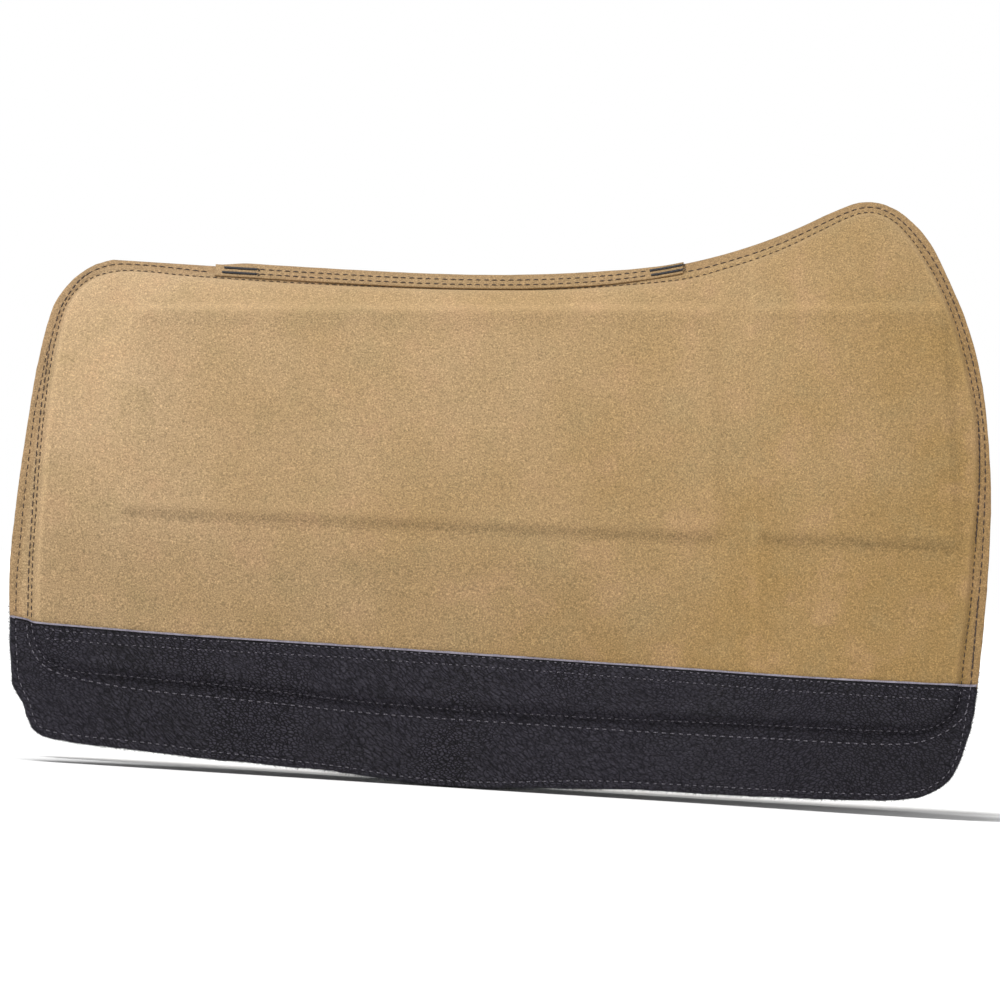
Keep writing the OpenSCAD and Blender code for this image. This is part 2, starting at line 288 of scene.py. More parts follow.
@dataclass(frozen=True)
class Cut:
    """The pad's cut and its rows, as knots of the side view (x, z) in millimetres."""

    rear: tuple = (
        (-331, 391), (-340, 385), (-350, 375), (-360, 359), (-365.5, 338), (-370.8, 304.4),
        (-373.4, 277.3), (-376.8, 236.6), (-380.1, 182.4), (-381, 158), (-380.5, 135.2), (-378.6, 112),
        (-377.4, 92), (-375, 75), (-372.9, 59), (-368.4, 50.6), (-363.5, 44), (-360.2, 34.6), (-355, 25),
        (-349, 20.6), (-339, 18),
    )
    bottom: tuple = (
        (-320, 15.6), (-300, 14.4), (-260, 12.3), (-220, 10), (-190, 9.2), (-160, 7.9), (-125, 6.9),
        (-100, 5), (-80, 3.3), (-60, 1.4), (-40, 0.4), (-20, 0), (0, 0.5), (20, 1.8), (50, 4), (80, 5.2),
        (110, 7), (150, 7.4), (190, 7.6), (230, 8.6), (270, 9.6), (300, 11),
    )
    front: tuple = (
        (322, 12.6), (340, 16.6), (352, 22.5), (361, 30.5), (367.5, 43), (372.4, 60), (376, 77), (377.8, 95),
        (378.4, 108), (379.6, 135), (380.6, 165), (381, 200), (380.4, 235), (378.6, 265), (375.5, 292),
        (370, 328), (362, 361), (352, 389), (337, 420), (320, 449.5), (305, 465), (291, 474),
        (276, 477.8), (262, 476.2), (250, 471.2),
    )
    ridge_from: float = -318.0
    ridge_to: float = 238.0
    outer_rear: tuple = (
        (-362.6, 93.5), (-364.2, 102), (-364.6, 116), (-366, 152.3), (-366.1, 200), (-366, 237.3),
        (-364.7, 279.2), (-363.2, 302.2), (-361.4, 326.9), (-359.2, 339), (-354.7, 356.1), (-351.2, 363.5),
        (-344.6, 375), (-338.4, 381.6), (-331, 386.3), (-321.7, 390.3), (-312.2, 392.3), (-296.3, 392.7),
    )
    outer_top: tuple = (
        (-279, 392.3), (-235.8, 390.3), (-180, 390.4), (-90.8, 392.4), (33.8, 398.6), (90, 406.4),
        (134.6, 414.9), (170, 426.5), (203.5, 440.4),
    )
    outer_front: tuple = (
        (244.8, 463), (256.1, 468.9), (265, 472.2), (273.1, 473.6), (281.1, 472.9), (295.4, 466),
        (310.1, 452.6), (325.2, 433.4), (338.2, 410.2), (348.9, 386.4), (357.2, 363.4), (366.3, 327.8),
        (371.6, 298.1), (374, 268.4), (375, 238.4), (375.4, 201.1), (374.4, 160.5), (373, 108),
        (372.4, 98.7), (371.5, 90),
    )
    outer_bottom: tuple = (
        (369.6, 82), (365, 76), (359, 70.4), (350.3, 65), (344, 61.8), (337, 59.2), (324.6, 56.6),
        (304.9, 55), (272, 54.1), (228, 54), (165.5, 52.9), (90, 52.6), (8.8, 52.9), (-50, 53),
        (-108.6, 54), (-160, 56.2), (-214.5, 58.2), (-257, 59.6), (-284.6, 61.4), (-308.5, 64),
        (-331.1, 67.6), (-344, 71.6), (-352.9, 77.5), (-358.6, 85),
    )
    inner_rear: tuple = (
        (-358.8, 97.5), (-361.2, 108), (-362, 120), (-363.4, 152.5), (-363.5, 195), (-363.3, 234.8),
        (-362.4, 271.2), (-360.6, 302.4), (-358, 327.1), (-352.6, 355), (-348, 364.6), (-341, 373.6),
        (-335, 378.6), (-326.5, 383), (-311.9, 386.9), (-292.8, 387.9),
    )
    inner_top: tuple = (
        (-262.9, 386.8), (-180, 386.3), (-90.8, 388), (-30, 390.6), (34.1, 394.8), (90, 401.8),
        (135, 409.6), (170, 421.6), (203.7, 435.6),
    )
    inner_front: tuple = (
        (245.1, 458.6), (256.3, 464.6), (265.2, 468.2), (274.3, 469.6), (288.4, 466), (303, 454.2),
        (318.1, 434.9), (332.3, 411.8), (342.9, 389.4), (351.4, 365.7), (360.1, 337.6), (365.8, 312.8),
        (369, 283.1), (370.3, 253.1), (369.9, 217.1), (368.8, 166.2), (366.7, 133.1), (365.5, 107),
    )
    inner_bottom: tuple = (
        (365, 98), (363.9, 90.4), (361.4, 84), (357.3, 78.6), (350.5, 73.4), (342.4, 69.9), (333.8, 67.7),
        (318, 66.1), (290, 65.2), (249.4, 64.6), (200, 63.7), (164.8, 62.9), (90, 61.3), (8.4, 60.7),
        (-50, 61.1), (-109, 62.6), (-160, 65.6), (-208.8, 68.2), (-252.6, 69.3), (-290, 70.6),
        (-321, 71.3), (-337, 74.2), (-347, 78.6), (-354.6, 87.2),
    )
    hem: tuple = (
        (-361.4, 326.9), (-363.7, 317), (-366, 299.3), (-369.2, 276.2), (-371.3, 245), (-373.2, 207.1),
        (-374.2, 169.3), (-374.9, 135.5), (-373.6, 112.8), (-372.6, 96), (-370.8, 80), (-368.4, 64),
        (-363.4, 53), (-358.6, 45), (-355.6, 36), (-351.4, 28.4), (-343.6, 24.4), (-331, 22.4),
        (-310.8, 21.3), (-285, 20.4), (-255, 18.9), (-220, 16.3), (-160, 13.2), (-110, 10.4), (-75, 6.8),
        (-46.8, 5.2), (-15, 4.9), (20, 6.8), (55, 9.8), (89.7, 12.2), (150, 13.2), (230.6, 14.3),
        (307.4, 15.9), (327, 17.8), (338, 20.8), (347.4, 25.1), (355.4, 31.4), (361, 38.5), (364.9, 47),
        (367.9, 60), (370, 75), (371.3, 88),
    )
    leather_top: tuple = (
        (-384, 112.6), (-378, 112), (-369, 111), (-363, 109.9), (-360.6, 108.6), (-352, 107.9),
        (-330, 107.4), (-300, 106.8), (-260, 106), (-150, 105.6), (0, 105.2), (150, 104.4), (230, 104),
        (300, 104.6), (360, 105.6), (384, 106.2),
    )
    leather_rows: tuple = (
        ((-352, 102.6), (-320, 101.6), (-250, 101.6), (-120, 102.6), (20, 102.2), (130, 101.2),
         (225, 100.4), (302, 100.6), (371, 101)),
        ((-350, 95.4), (-320, 94.6), (-250, 94.2), (-120, 95.4), (20, 94.8), (130, 93.4), (225, 92),
         (302, 92.3), (341, 92.5), (360.7, 93)),
    )
    shim_rear: tuple = ((-296, 199.6), (-296, 358), (157.5, 386.6), (172, 208.6))
    shim_front: tuple = ((201, 210.6), (186.5, 389), (334, 398), (357, 213.8))
    channel_foot: float = 185.4
    channel_slope: float = -0.0636
    channel_width: float = 25.0


@dataclass(frozen=True)
class Relief:
    """Heights, widths and distances of the relief on the skins, in millimetres."""

    wall_from: float = 1.5
    wall: float = 6.5
    wall_power: float = 2.6
    ridge_ease: float = 6.5
    ease_from: float = 70.0
    ease_over: float = 60.0
    shim_soft: float = 11.0
    channel_soft: float = 5.0
    channel_dip: float = 0.5
    channel_side: float = 0.34
    side_width: float = 2.6
    inner_groove: float = 0.42
    outer_groove: float = 0.34
    hem_groove: float = 0.3
    groove_width: float = 1.3
    hem_from: float = 70.0
    puff: float = 0.3
    puff_out: float = 2.3
    puff_width: float = 1.2
    leather_wall_from: float = -0.6
    leather_wall: float = 10.0
    leather_swell: float = 0.6
    leather_inner_groove: float = 0.62
    leather_outer_groove: float = 0.5
    leather_groove_width: float = 1.4
    leather_hem_groove: float = 0.45
    leather_row_groove: float = 0.3
    leather_row_width: float = 1.1
    pucker_out: float = 5.0
    pucker_width: float = 4.2
    crease: float = 0.62
    crease_sharpness: float = 2.4
    crease_turn: tuple = (0.62, 0.78)
    crease_stretch: float = 0.20
    crease_size: float = 9.0
    dents: float = 0.22
    dent_size: float = 26.0


class Loop:
    """A closed line on the flat cloth, with signed distances that are positive inside it."""

    def __init__(self, line: Points) -> None:
        """Keeps the line and works out its distances on a lattice over the cloth.

        Args:
            line: The line's points (x, s), evenly spaced.
        """
        self.line = line
        self.origin, self.cell = np.array([-400.0, -16.0]), 2.0
        gx = np.arange(-400.0, 402.0, self.cell)
        gs = np.arange(-16.0, 540.0, self.cell)
        xx, ss = np.meshgrid(gx, gs, indexing="ij")
        self.lattice = self.signed(np.stack([xx.ravel(), ss.ravel()], axis=1)).reshape(xx.shape)

    def signed(self, points: Points) -> np.ndarray:
        """Exact signed distances: the least over the line's stretches, negative outside.

        A point is inside if a ray from it crosses the line an odd number of times.

        Args:
            points: Points (x, s), one a row.

        Returns:
            The signed distance of each point.
        """
        coarse = even(self.line, max(60, len(self.line) // 3), closed=True)
        a, b = coarse, np.roll(coarse, -1, axis=0)
        edge = b - a
        size = (edge ** 2).sum(1)
        fall = np.where(edge[:, 1] == 0, 1e-9, edge[:, 1])
        found = []
        for block in np.array_split(points, max(1, len(points) // 8000)):
            rel_x, rel_y = block[:, :1] - a[:, 0], block[:, 1:] - a[:, 1]
            t = ((rel_x * edge[:, 0] + rel_y * edge[:, 1]) / size).clip(0.0, 1.0)
            near = ((rel_x - t * edge[:, 0]) ** 2 + (rel_y - t * edge[:, 1]) ** 2).min(1)
            over = (a[:, 1] > block[:, 1:]) != (b[:, 1] > block[:, 1:])
            cross = block[:, :1] < a[:, 0] + rel_y * edge[:, 0] / fall
            inside = (over & cross).sum(1) % 2 == 1
            found.append(np.where(inside, 1.0, -1.0) * np.sqrt(near))
        return np.concatenate(found)

    def depth(self, x: np.ndarray, s: np.ndarray) -> np.ndarray:
        """Signed distance at points, by linear interpolation on the lattice."""
        a = ((x - self.origin[0]) / self.cell).clip(0, self.lattice.shape[0] - 1.001)
        b = ((s - self.origin[1]) / self.cell).clip(0, self.lattice.shape[1] - 1.001)
        i, j = a.astype(int), b.astype(int)
        u, v = a - i, b - j
        low = self.lattice[i, j] * (1 - u) + self.lattice[i + 1, j] * u
        high = self.lattice[i, j + 1] * (1 - u) + self.lattice[i + 1, j + 1] * u
        return low * (1 - v) + high * v

    def stretch(self, start: Sequence[float], end: Sequence[float]) -> Points:
        """The line from the point nearest to one place on to the point nearest to another."""
        i = int(((self.line - np.array(start)) ** 2).sum(1).argmin())
        j = int(((self.line - np.array(end)) ** 2).sum(1).argmin())
        turned = np.roll(self.line, -i, axis=0)
        return turned[: (j - i) % len(self.line) + 1]

    def round(self) -> Points:
        """The line with its first point again at its end."""
        return np.vstack([self.line, self.line[:1]])

    def slope(self, x: np.ndarray, s: np.ndarray, step: float = 2.5) -> np.ndarray:
        """Slope of the distance at points, as (along x, down the half): differences over two steps."""
        return np.stack([
            self.depth(x + step, s) - self.depth(x - step, s),
            self.depth(x, s + step) - self.depth(x, s - step)], axis=-1) / (2 * step)


def spread(count: int, crowd: float) -> np.ndarray:
    """Parameters from 0 to 1 that crowd towards both ends: t less crowd times sin(2 pi t) / (2 pi)."""
    t = np.linspace(0.0, 1.0, count)
    return t - crowd * np.sin(2 * math.pi * t) / (2 * math.pi)


def patch(top: Points, bottom: Points, rear: Points, front: Points, across: int, down: int,
          crowd: float = 0.55) -> tuple[np.ndarray, np.ndarray]:
    """A Coons patch: the mix of the four edges across and down, less the mix of the corners.

    Args:
        top: Upper edge from rear to front.
        bottom: Lower edge from rear to front.
        rear: Rear edge from top to bottom.
        front: Front edge from top to bottom.
        across: Number of points from rear to front.
        down: Number of points from top to bottom.
        crowd: How far the grid crowds towards its edges.

    Returns:
        Grids of x and of s, with rows from top to bottom.
    """
    u, v = spread(across, crowd), spread(down, crowd)

    def along(line: Points, at: np.ndarray) -> Points:
        """Points of a line at shares of its length."""
        fine = even(line, 2000)
        grid = np.linspace(0.0, 1.0, len(fine))
        return np.stack([np.interp(at, grid, fine[:, k]) for k in range(2)], axis=1)

    t, b = along(top, u)[None], along(bottom, u)[None]
    r, f = along(rear, v)[:, None], along(front, v)[:, None]
    uu, vv = u[None, :, None], v[:, None, None]
    corners = (
        (1 - uu) * (1 - vv) * t[:, :1] + uu * (1 - vv) * t[:, -1:]
        + (1 - uu) * vv * b[:, :1] + uu * vv * b[:, -1:]
    )
    grid = (1 - vv) * t + vv * b + (1 - uu) * r + uu * f - corners
    return grid[..., 0], grid[..., 1]


class Shape:
    """The pad's lines and the relief of its skins, shared by both halves."""

    def __init__(self, drape: Drape, cut: Cut, levels: Levels, relief: Relief) -> None:
        """Lays the cut out flat and works out its loops.

        Args:
            drape: How a half hangs.
            cut: The cut and the rows.
            levels: The layers.
            relief: The relief of the skins.
        """
        self.drape, self.cut, self.levels, self.relief = drape, cut, levels, relief
        ridge_x = np.linspace(cut.ridge_to, cut.ridge_from, 300)
        ridge = np.stack([ridge_x, np.zeros_like(ridge_x)], axis=1)
        edge = self.trace(cut.rear + cut.bottom + cut.front, closed=False)
        self.outline = Loop(even(np.vstack([edge, ridge]), 1500, closed=True))
        self.outer = Loop(self.trace(cut.outer_rear + cut.outer_top + cut.outer_front + cut.outer_bottom))
        self.inner = Loop(self.trace(cut.inner_rear + cut.inner_top + cut.inner_front + cut.inner_bottom))
        self.hem = self.trace(cut.hem, closed=False)
        back = cut.outer_front[:-1][::-1] + cut.outer_top[::-1] + cut.outer_rear[9:][::-1]
        self.hem_loop = Loop(self.trace(cut.hem + back))
        self.top_edge = self.trace(cut.leather_top, closed=False)
        self.leather_rows = [self.trace(row, closed=False) for row in cut.leather_rows]

    def trace(self, knots: Sequence[tuple[float, float]], closed: bool = True) -> Points:
        """A smooth line through knots of the side view, laid out flat and spaced evenly.

        Args:
            knots: Points (x, z) that the line goes through.
            closed: Whether it runs back to its first point.

        Returns:
            The line's points (x, s).
        """
        side_view = curve(np.array(knots, float), closed=closed)
        flat = self.drape.flat(side_view, self.levels.canvas_flange)
        return even(flat, len(flat), closed)

    def flat(self, *knots: tuple[float, float]) -> Points:
        """Points of the side view on the flange, laid out flat."""
        return self.drape.flat(knots, self.levels.canvas_flange)

    def leather_edge(self, x: np.ndarray) -> np.ndarray:
        """Distance down the half of the leather's top edge, at x."""
        return np.interp(x, self.top_edge[:, 0], self.top_edge[:, 1])

    def channel(self, z: np.ndarray) -> np.ndarray:
        """Place along the ridge of the channel's rear side, at height z: a straight line."""
        return self.cut.channel_foot + self.cut.channel_slope * z

    def sides(self, x: np.ndarray, z: np.ndarray, corners: tuple) -> tuple:
        """Distances in from a shim's four straight sides, positive inside.

        Args:
            x: Place along the ridge.
            z: Height of the cloth there.
            corners: The shim's corners (x, z): rear foot, rear top, front top, front foot.

        Returns:
            Distances from its rear, front, top and foot.
        """
        (x0, z0), (x1, z1), (x2, z2), (x3, z3) = corners
        rear = x - (x0 + (z - z0) * (x1 - x0) / (z1 - z0))
        front = (x3 + (z - z3) * (x2 - x3) / (z2 - z3)) - x
        top = (z1 + (x - x1) * (z2 - z1) / (x2 - x1)) - z
        foot = z - (z0 + (x - x0) * (z3 - z0) / (x3 - x0))
        return rear, front, top, foot

    def slab(self, x: np.ndarray, z: np.ndarray, corners: tuple, soft: float) -> np.ndarray:
        """Share of a shim's height under a point: the product of smoothsteps in from its sides."""
        rear, front, top, foot = (smooth(d / soft + 0.5) for d in self.sides(x, z, corners))
        return rear * front * top * foot

    def wear(self, x: np.ndarray, s: np.ndarray) -> np.ndarray:
        """Painted light and shade on the canvas: above 0 for a painted highlight, below 0 for a painted
        shade.

        It adds bell curves of painted highlight round the padding's rim, along the shims' tops and along the
        channel's sides, and takes one away just under each shim as a painted shadow. It adds a soft band of
        painted light above and behind the rear shim, and takes one away over the lower rear, making it
        darker.

        Args:
            x: Place along the ridge.
            s: Distance down the half.

        Returns:
            The painted light and shade at each point.
        """
        depth = self.inner.depth(x, s)
        z = self.drape.height(x, s, self.levels.canvas_shim)
        side = x - self.channel(z)
        # Painted highlight round the padding's rim, painted shade just outside it, and more painted highlight
        # on the front rim.
        total = 0.95 * bell(depth - 4.6, 2.2) - 0.3 * bell(depth + 1.5, 2.0)
        total += 1.1 * bell(depth - 3.2, 2.4) * smooth((x - 230) / 90)
        # Painted highlight along the channel's two sides.
        total += 0.45 * bell(side, 2.4) + 0.65 * bell(side - self.cut.channel_width, 2.4)
        inside = smooth(depth / 10)
        # Painted highlight along each shim's top, painted shadow just under its foot and along its rear side.
        for corners in (self.cut.shim_rear, self.cut.shim_front):
            rear, front, top, foot = self.sides(x, z, corners)
            run = smooth(rear / 14 + 0.5) * smooth(front / 14 + 0.5) * inside
            total += run * (0.7 * bell(top + 1.5, 3.6) - 0.35 * bell(top - 9, 8.0))
            total += run * (0.3 * bell(foot - 6, 4.0) - 1.15 * bell(foot + 2.0, 3.6))
            total -= 0.35 * bell(rear + 1.5, 3.0) * smooth(top / 20) * smooth(foot / 20)
        # A soft band of painted light above and behind the rear shim.
        rear, _, top, _ = self.sides(x, z, self.cut.shim_rear)
        beyond = 1.0 - smooth(top / 8 + 0.5) * smooth(rear / 16 + 0.5)
        total += 0.7 * beyond * smooth((150 - x) / 90) * smooth((z - 190) / 130) * inside
        # Darker over the lower rear.
        return total - 0.55 * smooth((205 - z) / 40) * smooth((220 - x) / 200) * inside

    def swell(self, x: np.ndarray, s: np.ndarray) -> np.ndarray:
        """Slow waves of the cloth over the padding: two sizes of value noise."""
        return 0.55 * noise(x, s, 130.0, 5) + 0.22 * noise(x, s, 48.0, 6)

    def padding(self, x: np.ndarray, s: np.ndarray, start: float, over: np.ndarray | float) -> np.ndarray:
        """Share of the padding's height: one less a power of what is left of the way in.

        Args:
            x: Place along the ridge.
            s: Distance down the half.
            start: Distance inside the inner row at which the skin leaves the flange.
            over: Distance over which it rounds up to the top of the padding.

        Returns:
            The share, from 0 to 1.
        """
        t = ((self.inner.depth(x, s) - start) / over).clip(0.0, 1.0)
        return 1.0 - (1.0 - t) ** self.relief.wall_power

    def canvas(self, x: np.ndarray, s: np.ndarray) -> np.ndarray:
        """Level of the canvas's outer face.

        It is the flange's level, plus the rise over the padding, gentler near the ridge, plus the
        shims, the channel's dip with its two faint sides and slow waves, less a bell-shaped groove
        along each row.

        Args:
            x: Place along the ridge.
            s: Distance down the half.

        Returns:
            The level of each point.
        """
        lv, rl = self.levels, self.relief
        depth = self.inner.depth(x, s)
        wall = rl.wall + rl.ridge_ease * smooth((rl.ease_from - s) / rl.ease_over)
        up = self.padding(x, s, rl.wall_from, wall)
        z = self.drape.height(x, s, lv.canvas_core)
        side = x - self.channel(z)
        width = self.cut.channel_width
        between = smooth(side / rl.channel_soft + 0.5) * smooth((width - side) / rl.channel_soft + 0.5)
        lines = bell(side, rl.side_width) + bell(side - width, rl.side_width)
        shims = self.slab(x, z, self.cut.shim_rear, rl.shim_soft)
        shims = shims + self.slab(x, z, self.cut.shim_front, rl.shim_soft)
        groove = rl.inner_groove * bell(depth, rl.groove_width)
        groove += rl.outer_groove * bell(self.outer.depth(x, s), rl.groove_width)
        groove += rl.hem_groove * bell(self.hem_loop.depth(x, s), rl.groove_width) * (s > rl.hem_from)
        puff = rl.puff * bell(depth + rl.puff_out, rl.puff_width)
        level = lv.canvas_flange + up * (lv.canvas_core - lv.canvas_flange + self.swell(x, s))
        level += up * (lv.canvas_shim - lv.canvas_core) * shims.clip(0, 1)
        level += up * (rl.channel_side * lines - rl.channel_dip * between)
        return level - groove + puff

    def leather(self, x: np.ndarray, s: np.ndarray) -> np.ndarray:
        """Level of the leather's outer face: as the canvas, one leather higher, less its creases.

        A bell-shaped groove runs along each row. The puckers under the inner row are waves of
        noise drawn out along the row, and the dents are slow noise.

        Args:
            x: Place along the ridge.
            s: Distance down the half.

        Returns:
            The level of each point.
        """
        lv, rl = self.levels, self.relief
        up = self.padding(x, s, rl.leather_wall_from, rl.leather_wall)
        depth_in, depth_out = self.inner.depth(x, s), self.outer.depth(x, s)
        level = lv.canvas_flange + lv.gap + lv.leather + up * (lv.canvas_core - lv.canvas_flange)
        level += up * rl.leather_swell * self.swell(x, s)
        groove = rl.leather_inner_groove * bell(depth_in, rl.leather_groove_width)
        groove += rl.leather_outer_groove * bell(depth_out, rl.leather_groove_width)
        groove += rl.leather_hem_groove * bell(self.hem_loop.depth(x, s), rl.groove_width)
        for row in self.leather_rows:
            groove += rl.leather_row_groove * bell(s - np.interp(x, *row.T), rl.leather_row_width)
        between = bell(depth_in + rl.pucker_out, rl.pucker_width) * smooth((s - self.leather_edge(x)) / 25)
        pucker = between * (0.55 + 0.45 * noise(x, s * 3.2, 15.0, 8, 2))
        dents = rl.dents * noise(x, s, rl.dent_size, 11, 2)
        return level - groove + pucker + dents - self.creases(x, s, depth_out)

    def creases(self, x: np.ndarray, s: np.ndarray, depth_out: np.ndarray) -> np.ndarray:
        """Depth of the leather's creases.

        They are ridged noise, one less a multiple of its own size, drawn out along a slanting
        line. They come and go in patches, fade towards the front and are deepest below the rows.

        Args:
            x: Place along the ridge.
            s: Distance down the half.
            depth_out: Distance inside the outer row.

        Returns:
            The depth at each point.
        """
        rl = self.relief
        cos, sin = rl.crease_turn
        slant, across = x * cos - s * sin, x * sin + s * cos
        ridged = 1.0 - rl.crease_sharpness * np.abs(
            noise(slant, across * rl.crease_stretch, rl.crease_size, 9, 2))
        patches = 0.25 + smooth(noise(x, s * 1.5, 70.0, 10) * 1.6 + 0.4)
        share = patches * smooth((230 - x) / 300) * (0.35 + 0.65 * smooth(-depth_out / 8))
        return rl.crease * ridged.clip(0.0) * share

    def skin(self, x: np.ndarray, s: np.ndarray) -> tuple[np.ndarray, np.ndarray]:
        """Level of what lies outermost, and whether that is the leather."""
        on_leather = s > self.leather_edge(x) + 0.8
        return np.where(on_leather, self.leather(x, s), self.canvas(x, s)), on_leather


# ---------------------------------------------------------------- meshes


@dataclass
class Mesh:
    """A mesh that is put together from arrays."""

    points: list = field(default_factory=list)
    faces: list = field(default_factory=list)
    finish: list = field(default_factory=list)
    flat: list = field(default_factory=list)
    count: int = 0

    def add(self, points: Points, faces: np.ndarray, finish: int = 0, flat: Optional[Points] = None) -> int:
        """Adds points and the faces between them.

        Args:
            points: New points in metres, one a row.
            faces: Faces as rows of indices into the new points.
            finish: Number of the faces' material.
            flat: Place of each point on the flat cloth, in metres.

        Returns:
            Index of the first new point.
        """
        start = self.count
        self.points.append(points.reshape(-1, 3))
        self.flat.append(np.zeros((len(self.points[-1]), 2)) if flat is None else flat.reshape(-1, 2))
        self.count += len(self.points[-1])
        self.join(faces + start, finish)
        return start

    def join(self, faces: np.ndarray, finish: int = 0) -> None:
        """Adds faces between points that are there."""
        self.faces.append(faces)
        self.finish.append(np.full(len(faces), finish))

    def make(self, name: str, materials: Sequence[bpy.types.Material], smooth_faces: bool = True,
             attributes: Optional[dict] = None) -> bpy.types.Object:
        """Makes the Blender object.

        Args:
            name: Name of the piece.
            materials: Its materials.
            smooth_faces: Whether its faces are shaded smooth.
            attributes: Numbers on the points, by name.

        Returns:
            The object, linked to the scene.
        """
        points = np.concatenate(self.points)
        sizes = np.concatenate([np.full(len(f), f.shape[1]) for f in self.faces])
        loops = np.concatenate([f.ravel() for f in self.faces])
        data = bpy.data.meshes.new(name)
        data.vertices.add(len(points))
        data.vertices.foreach_set("co", points.astype(np.float32).ravel())
        data.loops.add(len(loops))
        data.loops.foreach_set("vertex_index", loops.astype(np.int32))
        data.polygons.add(len(sizes))
        starts = np.concatenate([[0], np.cumsum(sizes)[:-1]])
        data.polygons.foreach_set("loop_start", starts.astype(np.int32))
        data.polygons.foreach_set("material_index", np.concatenate(self.finish).astype(np.int32))
        data.polygons.foreach_set("use_smooth", np.full(len(sizes), smooth_faces))
        data.update(calc_edges=True)
        uv = data.uv_layers.new(name="cloth")
        uv.data.foreach_set("uv", np.concatenate(self.flat)[loops].astype(np.float32).ravel())
        for key, values in (attributes or {}).items():
            layer = data.attributes.new(key, "FLOAT", "POINT")
            layer.data.foreach_set("value", np.asarray(values, np.float32).ravel())
        data.validate()
        for material in materials:
            data.materials.append(material)
        piece = bpy.data.objects.new(name, data)
        bpy.context.scene.collection.objects.link(piece)
        LOG.info("%s: %d points, %d faces", name, len(points), len(sizes))
        return piece


def rim_of(rows: int, columns: int) -> np.ndarray:
    """Indices round the edge of a grid: along its top, down its front, back along its foot, up its rear."""
    index = np.arange(rows * columns).reshape(rows, columns)
    return np.concatenate([index[0, :-1], index[:-1, -1], index[-1, :0:-1], index[:0:-1, 0]])


def grid_faces(rows: int, columns: int) -> np.ndarray:
    """Quads of a grid: each point with its right, lower right and lower neighbours."""
    index = np.arange(rows * columns).reshape(rows, columns)
    corners = [index[:-1, :-1], index[:-1, 1:], index[1:, 1:], index[1:, :-1]]
    return np.stack([c.ravel() for c in corners], axis=1)


def shell(x: np.ndarray, s: np.ndarray, outer: np.ndarray, inner: np.ndarray, drape: Drape, side: Side,
          rings: int = 1) -> Mesh:
    """A closed sheet between two levels over one grid.

    The two faces are the grid at its outer and inner levels. The wall between them runs through
    rings at even shares of the way from one level to the other.

    Args:
        x: Grid of places along the ridge.
        s: Grid of distances down the half.
        outer: Outer level of each point.
        inner: Inner level of each point.
        drape: How the half hangs.
        side: Which half.
        rings: Number of rings in the wall.

    Returns:
        The mesh, with faces that point outwards.
    """
    rows, columns = x.shape
    faces = grid_faces(rows, columns)
    out_points, in_points = drape.place(x, s, outer, side), drape.place(x, s, inner, side)
    flat = np.stack([x, s], axis=-1) * MM
    mesh = Mesh()
    a, b, c = (out_points.reshape(-1, 3)[faces[:, k]] for k in range(3))
    normal = np.cross(b - a, c - a)
    towards = (out_points - in_points).reshape(-1, 3)[faces[:, 0]]
    turned = float((normal * towards).sum()) < 0
    order = slice(None, None, -1) if turned else slice(None)
    mesh.add(out_points, faces[:, order], 0, flat)
    second = mesh.add(in_points, faces[:, ::-1][:, order], 0, flat)
    edge = rim_of(rows, columns)
    edge_x, edge_s = x.ravel()[edge], s.ravel()[edge]
    loops = [edge]
    for k in range(1, rings + 1):
        t = k / (rings + 1)
        level = outer.ravel()[edge] * (1 - t) + inner.ravel()[edge] * t
        start = mesh.add(drape.place(edge_x, edge_s, level, side), NO_FACES, 0, flat.reshape(-1, 2)[edge])
        loops.append(start + np.arange(len(edge)))
    loops.append(second + edge)
    for first, last in zip(loops[:-1], loops[1:]):
        wall = np.stack([first, last, np.roll(last, -1), np.roll(first, -1)], axis=1)
        mesh.join(wall[:, order])
    return mesh


@dataclass(frozen=True)
class Thread:
    """How one row is sewn, in millimetres."""

    pitch: float
    dash: float
    radius: float
    sink: float = 0.30
    rise: float = 0.42


STITCH_RINGS, STITCH_SIDES = 6, 6


